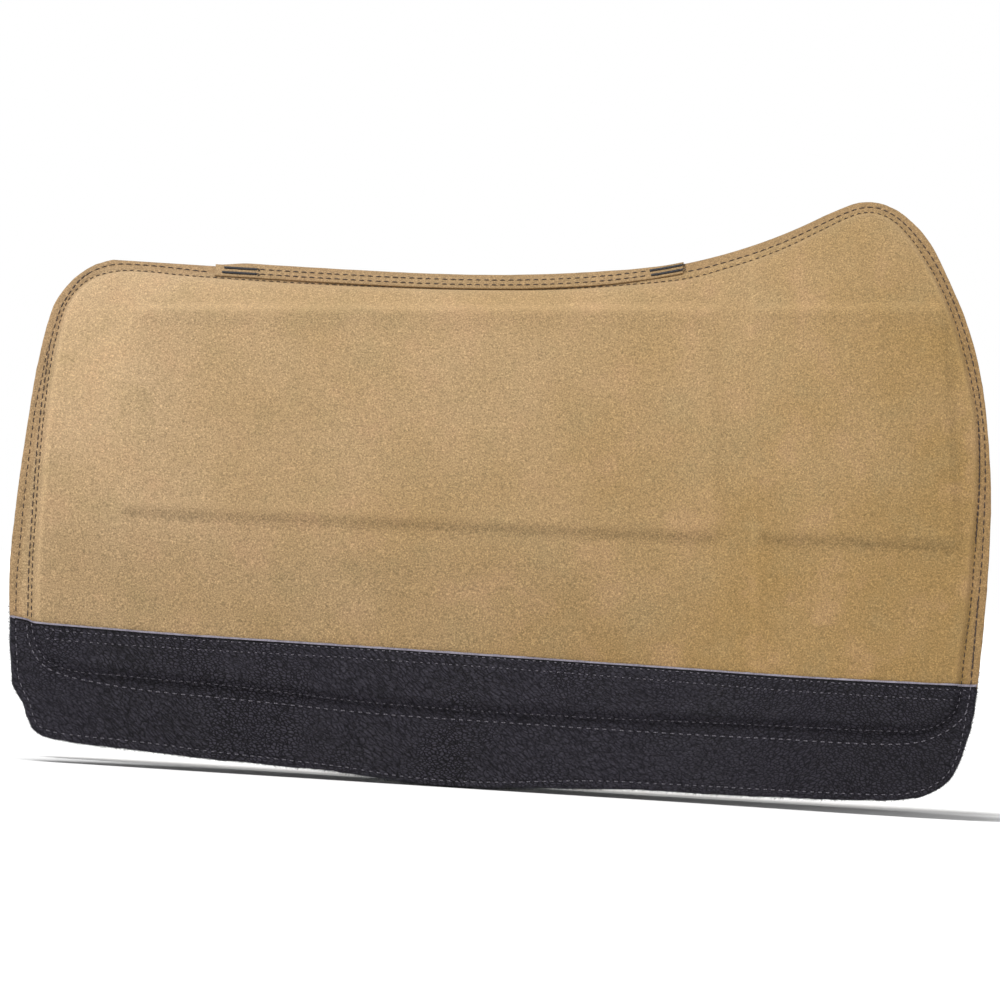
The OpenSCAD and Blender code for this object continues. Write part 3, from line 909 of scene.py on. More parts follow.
def stitches(mesh: Mesh, path: Points, normals: Points, spans: Points, thread: Thread,
             finish: np.ndarray) -> None:
    """Adds a row of stitches to a mesh.

    Each stitch is a six-sided tube round a short stretch of the path. Its middle line rises over
    the cloth as a sine of the way along and dips into it at the ends, where the tube narrows as
    the root of that sine.

    Args:
        mesh: The mesh to add to.
        path: The path on the cloth, in metres, one point a row.
        normals: The cloth's outward direction at each point.
        spans: Start and end of each stitch, as distances along the path in metres.
        thread: How the row is sewn.
        finish: Material number of each stitch.
    """
    length = lengths(path)
    t = np.linspace(0.0, 1.0, STITCH_RINGS)
    at = spans[:, :1] + (spans[:, 1:] - spans[:, :1]) * t[None]
    point = np.stack([np.interp(at, length, path[:, k]) for k in range(3)], axis=-1)
    up = np.stack([np.interp(at, length, normals[:, k]) for k in range(3)], axis=-1)
    up = unit(up)
    along = unit(np.gradient(point, axis=1))
    across = np.cross(along, up)
    arch = np.sin(math.pi * t)
    lift = (-thread.sink + (thread.sink + thread.rise) * arch ** 0.6) * MM
    radius = thread.radius * MM * (0.45 + 0.55 * arch ** 0.5)
    turn = np.arange(STITCH_SIDES) * 2 * math.pi / STITCH_SIDES
    ring = (
        np.cos(turn)[None, None, :, None] * across[:, :, None, :]
        + 0.8 * np.sin(turn)[None, None, :, None] * up[:, :, None, :]
    )
    points = (point + lift[None, :, None] * up)[:, :, None, :] + radius[None, :, None, None] * ring
    tube = []
    for k in range(STITCH_RINGS - 1):
        i = np.arange(STITCH_SIDES)
        j = (i + 1) % STITCH_SIDES
        tube.append(np.stack([k * STITCH_SIDES + i, k * STITCH_SIDES + j,
                              (k + 1) * STITCH_SIDES + j, (k + 1) * STITCH_SIDES + i], axis=1))
    tube = np.concatenate(tube)
    last = (STITCH_RINGS - 1) * STITCH_SIDES
    caps = np.array([list(range(STITCH_SIDES))[::-1], [last + i for i in range(STITCH_SIDES)]])
    block = STITCH_RINGS * STITCH_SIDES
    flat = np.stack([at[:, :, None] + 0 * turn, np.broadcast_to(turn / 2000, at.shape + (STITCH_SIDES,))], -1)
    handed = float((np.cross(ring[:, :, 0], ring[:, :, 1]) * along).sum()) > 0
    for value in np.unique(finish):
        chosen = np.flatnonzero(finish == value)
        base = mesh.add(points[chosen], NO_FACES, 0, flat[chosen])
        offset = base + np.arange(len(chosen))[:, None, None] * block
        for part in (tube, caps):
            part = part if handed else part[:, ::-1]
            mesh.join((offset + part[None]).reshape(-1, part.shape[1]), int(value))


# ---------------------------------------------------------------- finishes


def linear(red: float, green: float, blue: float) -> tuple[float, float, float, float]:
    """A screen colour from 0 to 255 as linear light with full alpha."""
    def one(c: float) -> float:
        """One channel: the screen curve undone."""
        c /= 255.0
        return c / 12.92 if c <= 0.04045 else ((c + 0.055) / 1.055) ** 2.4
    return (one(red), one(green), one(blue), 1.0)


class Value:
    """A number on a wire, with the arithmetic that adds Math nodes."""

    def __init__(self, graph: "Graph", socket: bpy.types.NodeSocket) -> None:
        """Keeps the graph and the socket."""
        self.graph, self.socket = graph, socket

    def __add__(self, other: "Value | float") -> "Value":
        """Sum."""
        return self.graph.math("ADD", self, other)

    __radd__ = __add__

    def __mul__(self, other: "Value | float") -> "Value":
        """Product."""
        return self.graph.math("MULTIPLY", self, other)

    __rmul__ = __mul__

    def __sub__(self, other: "Value | float") -> "Value":
        """Difference."""
        return self.graph.math("SUBTRACT", self, other)

    def __rsub__(self, other: "Value | float") -> "Value":
        """Difference the other way round."""
        return self.graph.math("SUBTRACT", other, self)

    def held(self, low: float = 0.0, high: float = 1.0) -> "Value":
        """The number mapped from low..high to 0..1 with soft ends."""
        node = self.graph.node("ShaderNodeMapRange", {"interpolation_type": "SMOOTHSTEP"},
                               {"Value": self, "From Min": low, "From Max": high})
        return Value(self.graph, node.outputs["Result"])


class Graph:
    """A tree of shader nodes, with one method that adds any of them."""

    def __init__(self, tree: bpy.types.NodeTree) -> None:
        """Keeps the tree's nodes and links."""
        self.nodes, self.links = tree.nodes, tree.links

    def node(self, kind: str, settings: Optional[dict] = None,
             inputs: Optional[dict] = None) -> bpy.types.Node:
        """Adds a node.

        Args:
            kind: The node's type.
            settings: Its properties, set first.
            inputs: Numbers, colours or wires of its sockets, by name or by number.

        Returns:
            The node.
        """
        node = self.nodes.new(kind)
        for key, value in (settings or {}).items():
            setattr(node, key, value)
        self.feed(node, inputs or {})
        return node

    def feed(self, node: bpy.types.Node, inputs: dict) -> None:
        """Sets or links a node's sockets, given by name or by number."""
        for key, value in inputs.items():
            if isinstance(value, Value):
                self.links.new(value.socket, node.inputs[key])
            elif isinstance(value, bpy.types.NodeSocket):
                self.links.new(value, node.inputs[key])
            else:
                node.inputs[key].default_value = value

    def math(self, operation: str, a: "Value | float", b: "Value | float" = 0.0) -> Value:
        """One Math node's result."""
        return Value(self, self.node("ShaderNodeMath", {"operation": operation}, {0: a, 1: b}).outputs[0])

    def place(self, scale: Sequence[float] = (1.0, 1.0, 1.0), turn: float = 0.0) -> bpy.types.NodeSocket:
        """Object coordinates, turned about Y and stretched."""
        coordinates = self.node("ShaderNodeTexCoord").outputs["Object"]
        mapping = self.node("ShaderNodeMapping", {}, {
            "Vector": coordinates, "Rotation": (0.0, turn, 0.0), "Scale": tuple(scale)})
        return mapping.outputs["Vector"]

    def cloth(self, scale: Sequence[float] = (1.0, 1.0, 1.0), turn: float = 0.0) -> bpy.types.NodeSocket:
        """Place on the flat cloth, in metres, turned so that a slant lies level and then stretched."""
        coordinates = self.node("ShaderNodeUVMap", {"uv_map": "cloth"}).outputs["UV"]
        mapping = self.node("ShaderNodeMapping", {"vector_type": "TEXTURE"}, {
            "Vector": coordinates, "Rotation": (0.0, 0.0, turn), "Scale": tuple(1.0 / k for k in scale)})
        return mapping.outputs["Vector"]

    def noise(self, where: bpy.types.NodeSocket, scale: float, detail: float = 2.0,
              rough: float = 0.5) -> Value:
        """Noise of a given number of cells a metre, about 0.5."""
        node = self.node("ShaderNodeTexNoise", {}, {
            "Vector": where, "Scale": scale, "Detail": detail, "Roughness": rough})
        return Value(self, node.outputs[0])

    def warped(self, where: bpy.types.NodeSocket, scale: float, amount: float) -> bpy.types.NodeSocket:
        """A place moved about by noise of a given number of cells a metre, by up to an amount."""
        drift = self.node("ShaderNodeTexNoise", {}, {"Vector": where, "Scale": scale, "Detail": 2.0})
        centred = self.node("ShaderNodeVectorMath", {"operation": "SUBTRACT"}, {
            0: drift.outputs["Color"], 1: (0.5, 0.5, 0.5)}).outputs[0]
        return self.node("ShaderNodeVectorMath", {"operation": "MULTIPLY_ADD"}, {
            0: centred, 1: (amount, amount, amount), 2: where}).outputs[0]

    def cells(self, where: bpy.types.NodeSocket, scale: float, feature: str = "F1") -> Value:
        """Distance to the nearest of scattered points, or to the border between two of them."""
        node = self.node("ShaderNodeTexVoronoi", {"feature": feature}, {"Vector": where, "Scale": scale})
        return Value(self, node.outputs["Distance"])

    def bands(self, where: bpy.types.NodeSocket, direction: str, scale: float, distortion: float,
              **inputs: float) -> Value:
        """Waves across a direction, a little distorted.

        Args:
            where: Place that the waves are laid on.
            direction: X, Y or DIAGONAL.
            scale: Their number a metre, as the node counts it.
            distortion: How far they wander.
            inputs: Numbers of the node's other sockets, with _ for a space.

        Returns:
            The waves, from 0 to 1.
        """
        node = self.node("ShaderNodeTexWave", {"wave_type": "BANDS", "bands_direction": direction}, {
            "Vector": where, "Scale": scale, "Distortion": distortion, "Detail": 1.0})
        self.feed(node, {key.replace("_", " "): value for key, value in inputs.items()})
        return Value(self, node.outputs["Fac"])

    def number(self, name: str) -> Value:
        """A number kept on the piece's points."""
        return Value(self, self.node("ShaderNodeAttribute", {"attribute_name": name}).outputs["Fac"])

    def mix(self, factor: "Value | float", a: object, b: object, blend: str = "MIX") -> bpy.types.NodeSocket:
        """Mix of two colours.

        Args:
            factor: Share of the second colour.
            a: First colour or wire.
            b: Second colour or wire.
            blend: Way of mixing.

        Returns:
            The mixed colour.
        """
        node = self.node("ShaderNodeMix", {"data_type": "RGBA", "blend_type": blend}, {0: factor, 6: a, 7: b})
        return node.outputs[2]

    def tone(self, value: Value) -> bpy.types.NodeSocket:
        """A number as a grey, for tinting a colour by it."""
        return self.node("ShaderNodeCombineXYZ", {}, {0: value, 1: value, 2: value}).outputs[0]


class Surface(Graph):
    """The nodes of a new material: its surface shader, its output and what feeds them."""

    def __init__(self, name: str) -> None:
        """Starts the material with only its surface shader and its output."""
        self.material = bpy.data.materials.new(name)
        self.material.use_nodes = True
        super().__init__(self.material.node_tree)
        self.nodes.clear()
        self.surface = self.node("ShaderNodeBsdfPrincipled")
        self.node("ShaderNodeOutputMaterial", {}, {"Surface": self.surface.outputs["BSDF"]})

    def finish(self, base: object, rough: object, height: Optional[Value] = None, depth: float = 0.0,
               strength: float = 1.0, **constants: float) -> bpy.types.Material:
        """Joins the surface up.

        Args:
            base: Base colour or wire.
            rough: Roughness or wire.
            height: Height that bends the light.
            depth: Depth of that height, in metres.
            strength: Share of the bending.
            constants: Numbers of the shader's other sockets, with _ for a space.

        Returns:
            The material.
        """
        sockets = {"Base Color": base, "Roughness": rough}
        if height is not None:
            bump = self.node("ShaderNodeBump", {}, {
                "Height": height, "Distance": depth, "Strength": strength})
            sockets["Normal"] = bump.outputs["Normal"]
        self.feed(self.surface, sockets | {key.replace("_", " "): value for key, value in constants.items()})
        return self.material


@dataclass(frozen=True)
class CanvasFinish:
    """Brushed tan canvas: a fine speckled nap over a plain weave, mottled, browner on the flange, with
    painted shade towards the front and the foot.
    """

    light: tuple = linear(172, 146, 112)
    brown: tuple = linear(146, 118, 74)
    rose: tuple = linear(168, 134, 102)
    green: tuple = linear(150, 130, 92)
    flange: tuple = linear(142, 114, 80)

    def build(self, name: str) -> bpy.types.Material:
        """Makes the material."""
        g = Surface(name)
        where, cloth = g.place(), g.cloth()
        broad = g.noise(where, 9.0, 2.0, 0.55)
        patchy = g.noise(where, 26.0, 3.0, 0.6)
        speck = g.noise(where, 820.0, 2.0, 0.7)
        fleck = g.noise(g.place((1.0, 1.0, 1.6)), 360.0, 2.0, 0.6)
        parts = g.node("ShaderNodeSeparateXYZ", {}, {0: where})
        along, high = Value(g, parts.outputs[0]), Value(g, parts.outputs[2])
        # Painted shade: lighter towards the top and the rear, darker and browner towards the front and the
        # foot, as the light falls; part of the browning is the canvas's own tone.
        brown_and_painted_shade = 0.8 + along * 1.2 - high * 1.0 + (broad - 0.5) * 0.8
        base = g.mix(g.math("MAXIMUM", g.math("MINIMUM", brown_and_painted_shade, 1.0), 0.0), self.light, self.brown)
        base = g.mix((patchy.held(0.5, 0.74)) * 0.3, base, self.rose)
        base = g.mix((patchy.held(0.5, 0.28)) * 0.3, base, self.green)
        rim = 1.0 - g.number("in_from_edge").held(6.0, 12.0)
        base = g.mix(rim * 0.55, base, self.flange)
        shade = 0.98 + (speck - 0.5) * 1.7 + (fleck - 0.5) * 0.5 + (patchy - 0.5) * 0.12
        # The attribute adds the painted highlights and painted shadows of the relief.
        shade = shade + speck.held(0.56, 0.72) * 0.24 + g.number("wear") * 0.15
        base = g.mix(1.0, base, g.tone(shade), "MULTIPLY")
        warp, weft = (g.bands(cloth, way, 330.0, 0.6, Detail_Scale=60.0) for way in "XY")
        height = speck * 0.9 + fleck * 0.6 + warp * 0.22 + weft * 0.22
        rough = 0.86 + (speck - 0.5) * 0.2
        return g.finish(base, rough, height, 0.0007, 0.7, Sheen_Weight=0.04, Sheen_Roughness=0.6,
                        Specular_IOR_Level=0.15)


@dataclass(frozen=True)
class LeatherFinish:
    """Near-black pebbled leather with a painted highlight on the crests of the pebbles, which leaves the
    hollows between them darker, and a soft shine.
    """

    dark: tuple = linear(4, 3, 6)
    light: tuple = linear(13, 11, 18)
    painted_pebble_highlight: tuple = linear(72, 69, 79)

    def build(self, name: str) -> bpy.types.Material:
        """Makes the material."""
        g = Surface(name)
        where = g.place()
        bent = g.warped(g.cloth((0.55, 1.0, 1.0), 0.25), 60.0, 0.006)
        slanted = g.warped(g.cloth((0.34, 1.0, 1.0), 0.70), 40.0, 0.010)
        pebble = g.cells(bent, 540.0, "DISTANCE_TO_EDGE").held(0.0, 0.24)
        drawn = g.cells(slanted, 420.0, "DISTANCE_TO_EDGE").held(0.0, 0.22)
        flow = g.noise(g.cloth((0.28, 1.0, 1.0), 0.66), 120.0, 2.0, 0.5)
        fold = 1.0 - g.math("ABSOLUTE", (flow - 0.5) * 14.0).held(0.0, 1.0)
        broad = g.noise(where, 12.0, 3.0, 0.6)
        rear = 1.0 - Value(g, g.node("ShaderNodeSeparateXYZ", {}, {0: where}).outputs[0]).held(0.06, 0.30)
        where_drawn = g.noise(where, 16.0, 2.0, 0.5).held(0.34, 0.56) * (rear * 0.85 + 0.15)
        grain = g.noise(g.cloth(), 1300.0, 2.0, 0.6)
        crest = pebble * (1.0 - where_drawn * 0.6) + drawn * where_drawn * 0.6
        crest = crest * (1.0 - fold * where_drawn * 0.3)
        base = g.mix(broad.held(0.3, 0.7), self.dark, self.light)
        crest = crest * (rear * 0.20 + 0.56)
        # Painted highlight: the pebbles' crests are painted pale as if they caught the light, stronger
        # towards the rear and weaker in the folds.
        base = g.mix(crest * (grain * 0.8 + 0.25), base, self.painted_pebble_highlight)
        edge = g.number("below_edge")
        line = (1.0 - (edge - 2.2).held(0.0, 1.3)) * edge.held(1.0, 1.6)
        base = g.mix(line * 0.85, base, self.dark)
        rough = 0.42 + (broad - 0.5) * 0.2 + (1.0 - crest) * 0.2
        return g.finish(base, rough, crest - fold * where_drawn * 0.4, 0.0009, 1.0, Specular_IOR_Level=0.14)


@dataclass(frozen=True)
class RawLeatherFinish:
    """The cut edge of the leather: pale grey-violet fibres, a little ragged."""

    pale: tuple = linear(140, 136, 147)
    dim: tuple = linear(92, 87, 97)

    def build(self, name: str) -> bpy.types.Material:
        """Makes the material."""
        g = Surface(name)
        where = g.place()
        fibre = g.noise(g.place((1.0, 1.0, 0.25)), 900.0, 3.0, 0.7)
        patchy = g.noise(where, 90.0, 2.0, 0.5)
        base = g.mix((fibre * 0.6 + patchy * 0.5).held(0.3, 0.75), self.dim, self.pale)
        return g.finish(base, 0.85, fibre, 0.0004, 0.8, Specular_IOR_Level=0.2)


@dataclass(frozen=True)
class FeltFinish:
    """Pressed charcoal wool felt with lighter and darker fibres."""

    dark: tuple = linear(38, 38, 43)
    light: tuple = linear(74, 74, 80)

    def build(self, name: str) -> bpy.types.Material:
        """Makes the material."""
        g = Surface(name)
        long_way = g.noise(g.place((1.0, 1.0, 0.3), 0.5), 520.0, 4.0, 0.7)
        cross_way = g.noise(g.place((0.3, 1.0, 1.0), 0.9), 520.0, 4.0, 0.7)
        tuft = g.noise(g.place(), 70.0, 3.0, 0.6)
        hair = g.math("MAXIMUM", long_way, cross_way)
        base = g.mix((hair.held(0.42, 0.75) * 0.7 + (tuft - 0.5) * 0.6 + 0.1), self.dark, self.light)
        height = hair + tuft * 0.8
        return g.finish(base, 0.96, height, 0.0012, 0.8, Sheen_Weight=0.08, Sheen_Roughness=0.5,
                        Specular_IOR_Level=0.1)


@dataclass(frozen=True)
class ThreadFinish:
    """Waxed sewing thread: twisted plies that run round each stitch."""

    dark: tuple = linear(40, 29, 25)
    light: tuple = linear(74, 56, 46)
    rough: float = 0.6
    shine: float = 0.5

    def build(self, name: str) -> bpy.types.Material:
        """Makes the material."""
        g = Surface(name)
        ply = g.bands(g.cloth((1.0, 0.5, 1.0)), "DIAGONAL", 320.0, 0.4)
        fuzz = g.noise(g.place(), 1600.0, 2.0, 0.6)
        base = g.mix((ply * 0.6 + fuzz * 0.5).held(0.25, 0.95), self.dark, self.light)
        return g.finish(base, self.rough, ply + fuzz * 0.4, 0.00025, 0.8, Specular_IOR_Level=self.shine)


@dataclass(frozen=True)
class FoamFinish:
    """Closed-cell foam: small bubbles, faintly mottled."""

    light: tuple = linear(221, 214, 190)
    dark: tuple = linear(196, 187, 158)

    def build(self, name: str) -> bpy.types.Material:
        """Makes the material."""
        g = Surface(name)
        bubble = g.cells(g.place(), 900.0)
        broad = g.noise(g.place(), 25.0, 3.0, 0.6)
        base = g.mix((broad * 0.7 + bubble * 0.5).held(0.2, 0.9), self.light, self.dark)
        return g.finish(base, 0.9, bubble, 0.0005, 0.6, Specular_IOR_Level=0.2)


@dataclass(frozen=True)
class FloorFinish:
    """Plain pale floor with a trace of grain."""

    def build(self, name: str) -> bpy.types.Material:
        """Makes the material."""
        g = Surface(name)
        grain = g.noise(g.place(), 3.0, 2.0, 0.5)
        base = g.mix(grain, linear(246, 246, 246), linear(250, 250, 250))
        return g.finish(base, 0.9, Specular_IOR_Level=0.1)


@dataclass
class Finishes:
    """All the materials, made once."""

    canvas: bpy.types.Material = field(default_factory=lambda: CanvasFinish().build("canvas_finish"))
    leather: bpy.types.Material = field(default_factory=lambda: LeatherFinish().build("leather_finish"))
    raw_leather: bpy.types.Material = field(
        default_factory=lambda: RawLeatherFinish().build("raw_leather_finish"))
    felt: bpy.types.Material = field(default_factory=lambda: FeltFinish().build("felt_finish"))
    thread: bpy.types.Material = field(default_factory=lambda: ThreadFinish().build("thread_finish"))
    # Painted highlight: the same dark thread as on the canvas, painted lighter grey where it lies on the
    # leather, as if it caught the light.
    leather_thread: bpy.types.Material = field(default_factory=lambda: ThreadFinish(
        linear(66, 63, 70), linear(114, 110, 119), 0.5, 0.5).build("leather_thread_painted_highlight_finish"))
    black_thread: bpy.types.Material = field(default_factory=lambda: ThreadFinish(
        linear(14, 13, 16), linear(36, 34, 40), 0.5, 0.5).build("black_thread_finish"))
    foam: bpy.types.Material = field(default_factory=lambda: FoamFinish().build("foam_finish"))
    shim_foam: bpy.types.Material = field(default_factory=lambda: FoamFinish(
        linear(206, 210, 204), linear(176, 182, 176)).build("shim_foam_finish"))


# ---------------------------------------------------------------- sub-assemblies


def declare(piece: bpy.types.Object, side: Side, node: str) -> bpy.types.Object:
    """Parents a half's piece to its body's empty and hides the CAD node that it stands for."""
    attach(piece, side.body)
    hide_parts(f"{side.prefix}_{node}")
    return piece


def flat_size(line: Points) -> tuple[float, float]:
    """Length and height in metres of the box round a flat outline."""
    length, height = (line.max(0) - line.min(0)) * MM
    return float(length), float(height)


@dataclass
class FeltLiner:
    """The thick felt next to the horse, with a fuzz of loose fibres along its cut edge."""

    shape: Shape
    side: Side
    across: int = 190
    down: int = 110
    fibres: int = 3200
    fibre_length: float = 2.4
    fibre_radius: float = 0.24
    fibre_root: float = 0.6
    tuck: float = 1.1
    fade: float = 12.0

    def corners(self) -> Points:
        """Where the cut turns: rear top, front top, front foot and rear foot, on the flat cloth."""
        return self.shape.flat((-344, 381.5), (298, 469.5), (361, 30.5), (-358, 30))

    def grid(self, across: int, down: int, inset: Callable) -> tuple[np.ndarray, np.ndarray]:
        """The half's flat grid, drawn in from the cut.

        Each point is drawn in along the slope of the distance from the cut, by an amount that
        fades to nothing a little way inside it.

        Args:
            across: Number of points along the ridge.
            down: Number of points down the half.
            inset: Gives the amount from x and s.

        Returns:
            Grids of x and s.
        """
        outline, (rear_top, front_top, front_foot, rear_foot) = self.shape.outline, self.corners()
        rear = outline.stretch(rear_top, rear_foot)
        bottom = outline.stretch(rear_foot, front_foot)
        front = outline.stretch(front_foot, front_top)[::-1]
        top = outline.stretch(front_top, rear_top)[::-1]
        x, s = patch(top, bottom, rear, front, across, down)
        slope = outline.slope(x, s)
        size = np.linalg.norm(slope, axis=-1).clip(0.3)
        amount = inset(x, s) * (1.0 - smooth(outline.depth(x, s) / self.fade))
        amount = np.where(s < 0.6, 0.0, amount) / size
        return x + amount * slope[..., 0], (s + amount * slope[..., 1]).clip(0.0)

    def build(self) -> Mesh:
        """The felt: a closed sheet whose face is a little uneven and whose wall is soft."""
        sh = self.shape

        def inset(x: np.ndarray, s: np.ndarray) -> np.ndarray:
            """Tucked under the canvas above the leather, and uneven all round."""
            return np.where(s < sh.leather_edge(x) - 4, self.tuck, 0.0) + 0.5 * noise(x, s, 5.0, 21, 3)

        x, s = self.grid(self.across, self.down, inset)
        top = sh.levels.felt - sh.levels.gap - 0.5 * bell(sh.outline.depth(x, s), 1.2)
        low = 0.35 + 0.35 * noise(x, s, 30.0, 22, 3) + 0.6 * bell(sh.outline.depth(x, s), 1.6)
        return shell(x, s, top, low, sh.drape, self.side, rings=3)

    def fuzz(self, mesh: Mesh) -> None:
        """Adds loose fibres: slim three-sided cones that stand out from the cut edge at random."""
        sh, rng = self.shape, np.random.default_rng(40 + self.side.value)
        line = even(sh.outline.line, self.fibres * 2, closed=True)
        keep = line[:, 1] > sh.leather_edge(line[:, 0]) - 10
        ahead = np.roll(line, -1, axis=0) - np.roll(line, 1, axis=0)
        line, ahead = line[keep], unit(ahead)[keep]
        away = np.stack([-ahead[:, 1], ahead[:, 0]], axis=1)
        probe = line + away
        away *= np.where(sh.outline.depth(probe[:, 0], probe[:, 1]) > 0, -1.0, 1.0)[:, None]
        count = len(line)
        level = rng.uniform(0.5, 11.6, count)
        size = self.fibre_length * rng.uniform(0.25, 1.0, count) ** 1.5
        lean = rng.uniform(-0.9, 0.9, count)
        lift = rng.uniform(-0.7, 0.7, count)
        root = sh.drape.place(line[:, 0], line[:, 1], level, self.side)
        end = line + away * size[:, None] + ahead * (size * lean)[:, None]
        tip = sh.drape.place(end[:, 0], end[:, 1].clip(0), level + lift * size, self.side)
        axis = unit(tip - root)
        first = unit(np.cross(axis, [0.2, 0.9, 0.4]))
        second = np.cross(axis, first)
        turn = np.arange(3) * 2 * math.pi / 3
        cos, sin = np.cos(turn)[None, :, None], np.sin(turn)[None, :, None]
        round_root = cos * first[:, None] + sin * second[:, None]
        base = root[:, None] - axis[:, None] * self.fibre_root * MM + self.fibre_radius * MM * round_root
        points = np.concatenate([base, tip[:, None]], axis=1)
        local = np.array([[0, 1, 3], [1, 2, 3], [2, 0, 3], [0, 2, 1]])
        faces = (np.arange(count)[:, None, None] * 4 + local[None]).reshape(-1, 3)
        mesh.add(points, faces)

    def dress(self, finishes: Finishes) -> bpy.types.Object:
        mesh = self.build()
        self.fuzz(mesh)
        piece = mesh.make(f"{self.side.prefix}_felt", [finishes.felt])
        declare(piece, self.side, "felt_liner")
        return piece


@dataclass
class Padding:
    """The two foam cores and the two thin shims that lie under the canvas."""

    shape: Shape
    side: Side
    inset: float = 3.6

    def stretch(self, start: tuple, end: tuple) -> Points:
        """A stretch of the padding's edge: the inner row, drawn in along the slope of its distance."""
        inner = self.shape.inner
        line = inner.stretch(*self.shape.flat(start, end))
        return line + unit(inner.slope(*line.T, step=3.0)) * self.inset

    def straight(self, start: tuple, end: tuple, level: float = 20.0) -> Points:
        """A straight line of the side view, laid out flat."""
        t = np.linspace(0.0, 1.0, 40)[:, None]
        line = np.array(start) * (1 - t) + np.array(end) * t
        return self.shape.drape.flat([tuple(p) for p in line], level)

    def slab(self, name: str, edges: tuple, low: float, high: float, grid: tuple[int, int],
             material: bpy.types.Material, slot: str) -> bpy.types.Object:
        """One foam piece: a closed sheet from a level up to the underside of the canvas.

        Args:
            name: The CAD node's name without its side.
            edges: Top, bottom, rear and front edges on the flat cloth.
            low: Level of its under face.
            high: Highest level of its upper face.
            grid: Number of points across and down.
            material: Its finish.
            slot: Name of its material slot; not used.

        Returns:
            The piece.
        """
        sh = self.shape
        x, s = patch(*edges, *grid)
        under_canvas = sh.canvas(x, s) - sh.levels.canvas - 2 * sh.levels.gap
        top = np.minimum(under_canvas, high)
        mesh = shell(x, s, top, np.minimum(low, top - 0.3), sh.drape, self.side)
        piece = mesh.make(f"{self.side.prefix}_{name}_foam", [material])
        declare(piece, self.side, name)
        return piece

    def dress(self, finishes: Finishes) -> list[bpy.types.Object]:
        sh, lv = self.shape, self.shape.levels
        cut = sh.cut
        channel_top, channel_foot = 404.0, 66.0
        rear_line = [(float(sh.channel(np.array(z))), z) for z in (channel_top, channel_foot)]
        front_line = [(x + cut.channel_width, z) for x, z in rear_line]
        rear_top, rear_foot = (-343.0, 371.0), (-347.0, 78.0)
        front_top, front_foot = (292.0, 463.0), (357.0, 79.0)
        rear_core = (
            self.stretch(rear_top, rear_line[0]), self.stretch(rear_line[1], rear_foot)[::-1],
            self.stretch(rear_foot, rear_top)[::-1], None)
        front_core = (
            self.stretch(front_line[0], front_top), self.stretch(front_foot, front_line[1])[::-1],
            None, self.stretch(front_top, front_foot))

        def between(upper: Points, lower: Points, end: int) -> Points:
            """Straight line between the ends of two edges."""
            t = np.linspace(0.0, 1.0, 40)[:, None]
            return upper[end] * (1 - t) + lower[end] * t

        rear_core = (*rear_core[:3], between(rear_core[0], rear_core[1], -1))
        front_core = (*front_core[:2], between(front_core[0], front_core[1], 0), front_core[3])
        made = [
            self.slab("rear_core", rear_core, lv.core_low, 19.1, (120, 80), finishes.foam, "foam"),
            self.slab("front_core", front_core, lv.core_low, 19.1, (60, 80), finishes.foam, "foam"),
        ]
        for name, corners in (("rear_shim", cut.shim_rear), ("front_shim", cut.shim_front)):
            foot_r, top_r, top_f, foot_f = corners
            edges = (self.straight(top_r, top_f), self.straight(foot_r, foot_f),
                     self.straight(top_r, foot_r), self.straight(top_f, foot_f))
            made.append(self.slab(name, edges, 19.2, 22.6, (60, 40), finishes.shim_foam, "shim_foam"))
        return made


@dataclass
class CanvasCover:
    """The canvas skin: flat on the felt round the edge and drawn up over the padding."""

    shape: Shape
    side: Side
    liner: FeltLiner
    across: int = 300
    down: int = 152
    tuck: float = 1.4

    def build(self) -> tuple[Mesh, dict]:
        """The skin as a closed sheet, and each point's distance in from the cut edge and its painted light
        and shade.
        """
        sh, lv = self.shape, self.shape.levels

        def inset(x: np.ndarray, s: np.ndarray) -> np.ndarray:
            """Cut back under the leather, and a little uneven all round."""
            return np.where(s > sh.leather_edge(x) + 2, self.tuck, 0.0) + 0.16 * noise(x, s, 6.0, 31, 2)

        x, s = self.liner.grid(self.across, self.down, inset)
        edge = 0.25 * bell(sh.outline.depth(x, s), 0.8)
        outer = sh.canvas(x, s) - edge
        mesh = shell(x, s, outer, outer - lv.canvas + edge, sh.drape, self.side)
        flat = np.concatenate(mesh.flat) / MM
        x, s = flat.T
        # Each point also carries its painted light and shade.
        return mesh, {"in_from_edge": sh.outline.depth(x, s), "wear": sh.wear(x, s)}

    def dress(self, finishes: Finishes) -> bpy.types.Object:
        mesh, numbers = self.build()
        piece = mesh.make(f"{self.side.prefix}_canvas", [finishes.canvas], attributes=numbers)
        declare(piece, self.side, "canvas_cover")
        line = self.shape.outline.line
        flat_size(line)
        area(line) * MM * MM
        return piece


